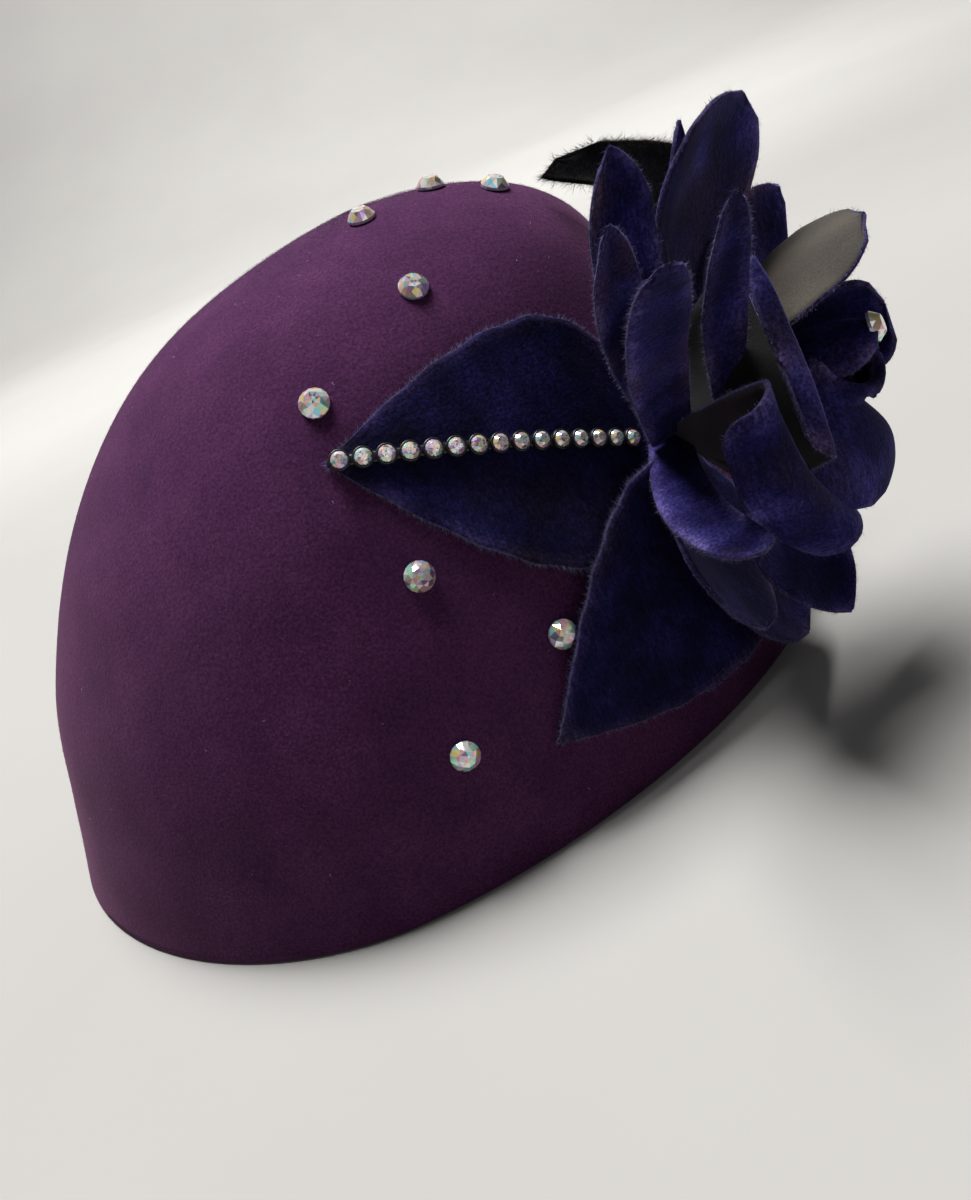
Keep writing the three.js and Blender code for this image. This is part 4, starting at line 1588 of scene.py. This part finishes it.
@dataclass
class Studio:
    """The camera, the floor with its rising back, and the lights.

    The camera's sizes are in millimetres and degrees, and the room's are in metres.
    """

    shift: np.ndarray
    azimuth: float = 2.6
    elevation: float = 25.94
    roll: float = -24.2
    distance: float = 325.27
    focal_pixels: float = 1052.42
    long_side_pixels: float = 1200.0
    target: tuple[float, float, float] = (24.49, 0.0, 24.54)
    sensor: float = 36.0
    floor_side: float = 6.0
    floor_front: float = -3.0
    floor_back: float = 1.6
    rise_radius: float = 1.2
    rise_steps: int = 12
    wall_height: float = 6.0

    def build(self) -> None:
        """Builds everything around the hat."""
        self.add_camera()
        self.add_floor()
        self.add_lights()

    def add_camera(self) -> None:
        """Adds the camera at the picture's angle."""
        azimuth, elevation, roll = (math.radians(v) for v in (self.azimuth, self.elevation, self.roll))
        level = math.cos(elevation)
        away = np.array([math.sin(azimuth) * level, -math.cos(azimuth) * level, math.sin(elevation)])
        right = unit(np.cross(-away, [0, 0, 1]))
        up = np.cross(right, -away)
        turned_right = right * math.cos(roll) + up * math.sin(roll)
        turned_up = -right * math.sin(roll) + up * math.cos(roll)
        data = bpy.data.cameras.new("camera")
        data.sensor_width = self.sensor
        data.lens = self.focal_pixels / self.long_side_pixels * data.sensor_width
        data.clip_start, data.clip_end = 0.01, 50.0
        camera = bpy.data.objects.new("camera", data)
        place = (np.array(self.target) + self.shift + away * self.distance) * MM
        camera.matrix_world = Matrix((
            (turned_right[0], turned_up[0], away[0], place[0]),
            (turned_right[1], turned_up[1], away[1], place[1]),
            (turned_right[2], turned_up[2], away[2], place[2]),
            (0, 0, 0, 1),
        ))
        bpy.context.scene.collection.objects.link(camera)
        bpy.context.scene.camera = camera

    def add_floor(self) -> None:
        """Adds a pale floor that curves up behind."""
        profile = [(self.floor_front, 0.0), (self.floor_back, 0.0)]
        for step in range(1, self.rise_steps + 1):
            angle = math.pi / 2 * step / self.rise_steps
            along = self.floor_back + self.rise_radius * math.sin(angle)
            profile.append((along, self.rise_radius * (1 - math.cos(angle))))
        profile.append((self.floor_back + self.rise_radius, self.wall_height))
        across = (-self.floor_side, 0.0, self.floor_side)
        points = [(x, y, z) for y, z in profile for x in across]
        columns = len(across)
        faces = [
            (low + column, low + column + 1, low + columns + column + 1, low + columns + column)
            for low in range(0, columns * (len(profile) - 1), columns) for column in range(columns - 1)
        ]
        mesh = bpy.data.meshes.new("floor")
        mesh.from_pydata(points, [], faces)
        mesh.polygons.foreach_set("use_smooth", [True] * len(faces))
        bench = NodeBench("pale_floor")
        stops = [(0.3, (0.37, 0.36, 0.345)), (0.7, (0.4, 0.39, 0.372))]
        colour = bench.ramp(bench.noise(bench.place(), 3.0), stops)
        bench.link(colour, bench.shader.inputs["Base Color"])
        mesh.materials.append(bench.settle(Roughness=0.9, Specular_IOR_Level=0.1))
        floor = bpy.data.objects.new("floor", mesh)
        bpy.context.scene.collection.objects.link(floor)

    def add_lights(self) -> None:
        """Adds a soft light above, a weak one by the camera, one on the backdrop and a pale surround."""
        for name, place, aim, size, power in (
            ("light_above", (-0.1, 0.5, 2.1), (0.0, 0.0, 0.06), 1.0, 92.0),
            ("light_front", (0.7, -1.3, 1.2), (0.0, 0.0, 0.06), 0.9, 1.8),
            ("light_backdrop", (0.3, 1.0, 1.5), (-0.2, 2.8, 0.9), 1.6, 42.0),
        ):
            data = bpy.data.lights.new(name, "AREA")
            data.energy, data.size = power, size
            light = bpy.data.objects.new(name, data)
            light.location = place
            light.rotation_mode = "QUATERNION"
            light.rotation_quaternion = (Vector(aim) - Vector(place)).to_track_quat("-Z", "Y")
            bpy.context.scene.collection.objects.link(light)
        world = bpy.data.worlds.new("surround")
        world.use_nodes = True
        background = world.node_tree.nodes["Background"]
        background.inputs["Color"].default_value = (0.95, 0.95, 1.0, 1.0)
        background.inputs["Strength"].default_value = 0.07
        bpy.context.scene.world = world
        bpy.context.scene.view_settings.view_transform = "Standard"


def make_finishes() -> dict[str, bpy.types.Material]:
    """Returns the materials by name."""
    return {
        "felt": FeltFinish().material("wool_felt"),
        "fuzz": FibreFinish((0.12, 0.055, 0.12)).material("wool_fibre"),
        "lint": FibreFinish((0.62, 0.55, 0.6)).material("pale_lint"),
        "velvet": VelvetFinish().material("petal_velvet"),
        "leaf_velvet": VelvetFinish(
            dark=(0.0030, 0.0024, 0.0170), middle=(0.0058, 0.0046, 0.0360), light=(0.0125, 0.0105, 0.0700),
            bloom=(0.012, 0.0095, 0.018), sheen=0.12,
        ).material("leaf_velvet"),
        "edge": VelvetFinish(
            dark=(0.018, 0.015, 0.055), middle=(0.035, 0.030, 0.095), light=(0.075, 0.066, 0.16),
            bloom=(0.06, 0.05, 0.09), sheen=0.4,
        ).material("velvet_edge"),
        "fibre": FibreFinish().material("velvet_fibre"),
        "backing": BackingFinish().material("woven_backing"),
        # A darker copy of the backing: painted shade on the body of petal_wide_rolled, which lies deep in the
        # rose.
        "painted_shade_backing": BackingFinish(
            dark=(0.0075, 0.0080, 0.0085), light=(0.0150, 0.0155, 0.0155)
        ).material("painted_shade_backing"),
        # A darker, plum copy of the backing: painted shade on the outer side of petal_low_rolled.
        "painted_shade_plum_backing": BackingFinish(
            dark=(0.0090, 0.0045, 0.0090), light=(0.0220, 0.0110, 0.0180)
        ).material("painted_shade_plum_backing"),
        "ribbon": VelvetFinish(
            dark=(0.0030, 0.0032, 0.0050), middle=(0.0058, 0.0060, 0.0085), light=(0.0110, 0.0110, 0.0150),
            bloom=(0.01, 0.01, 0.014), sheen=0.1,
        ).material("dark_ribbon"),
        "cup": CupFinish().material("black_cup"),
        "crystal": CrystalFinish().material("coated_crystal"),
    }


def main() -> None:
    """Builds the hat on its frame, then its surroundings."""
    logging.basicConfig(level=logging.INFO, format="%(name)s %(message)s")
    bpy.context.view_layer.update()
    low, high = (np.array(corner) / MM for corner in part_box("felt_crown"))
    form = CrownForm()
    form.shift = np.array([(low[0] + high[0]) / 2, (low[1] + high[1]) / 2, low[2]])
    finishes = make_finishes()
    Studio(form.shift).build()
    FeltCrown(form).build(finishes["felt"], finishes["fuzz"], finishes["lint"])
    rose = Rose(form)
    rose.build(finishes)
    CrownStones(form, rose).build(finishes["crystal"])
    leaves = [Leaf(form, row) for row in LEAF_ROWS]
    for seed, leaf in enumerate(leaves, start=FIRST_LEAF_SEED):
        leaf.build(finishes, seed)
    StoneChain(leaves[0]).build(finishes["cup"], finishes["crystal"])


if __name__ == "__main__":
    main()
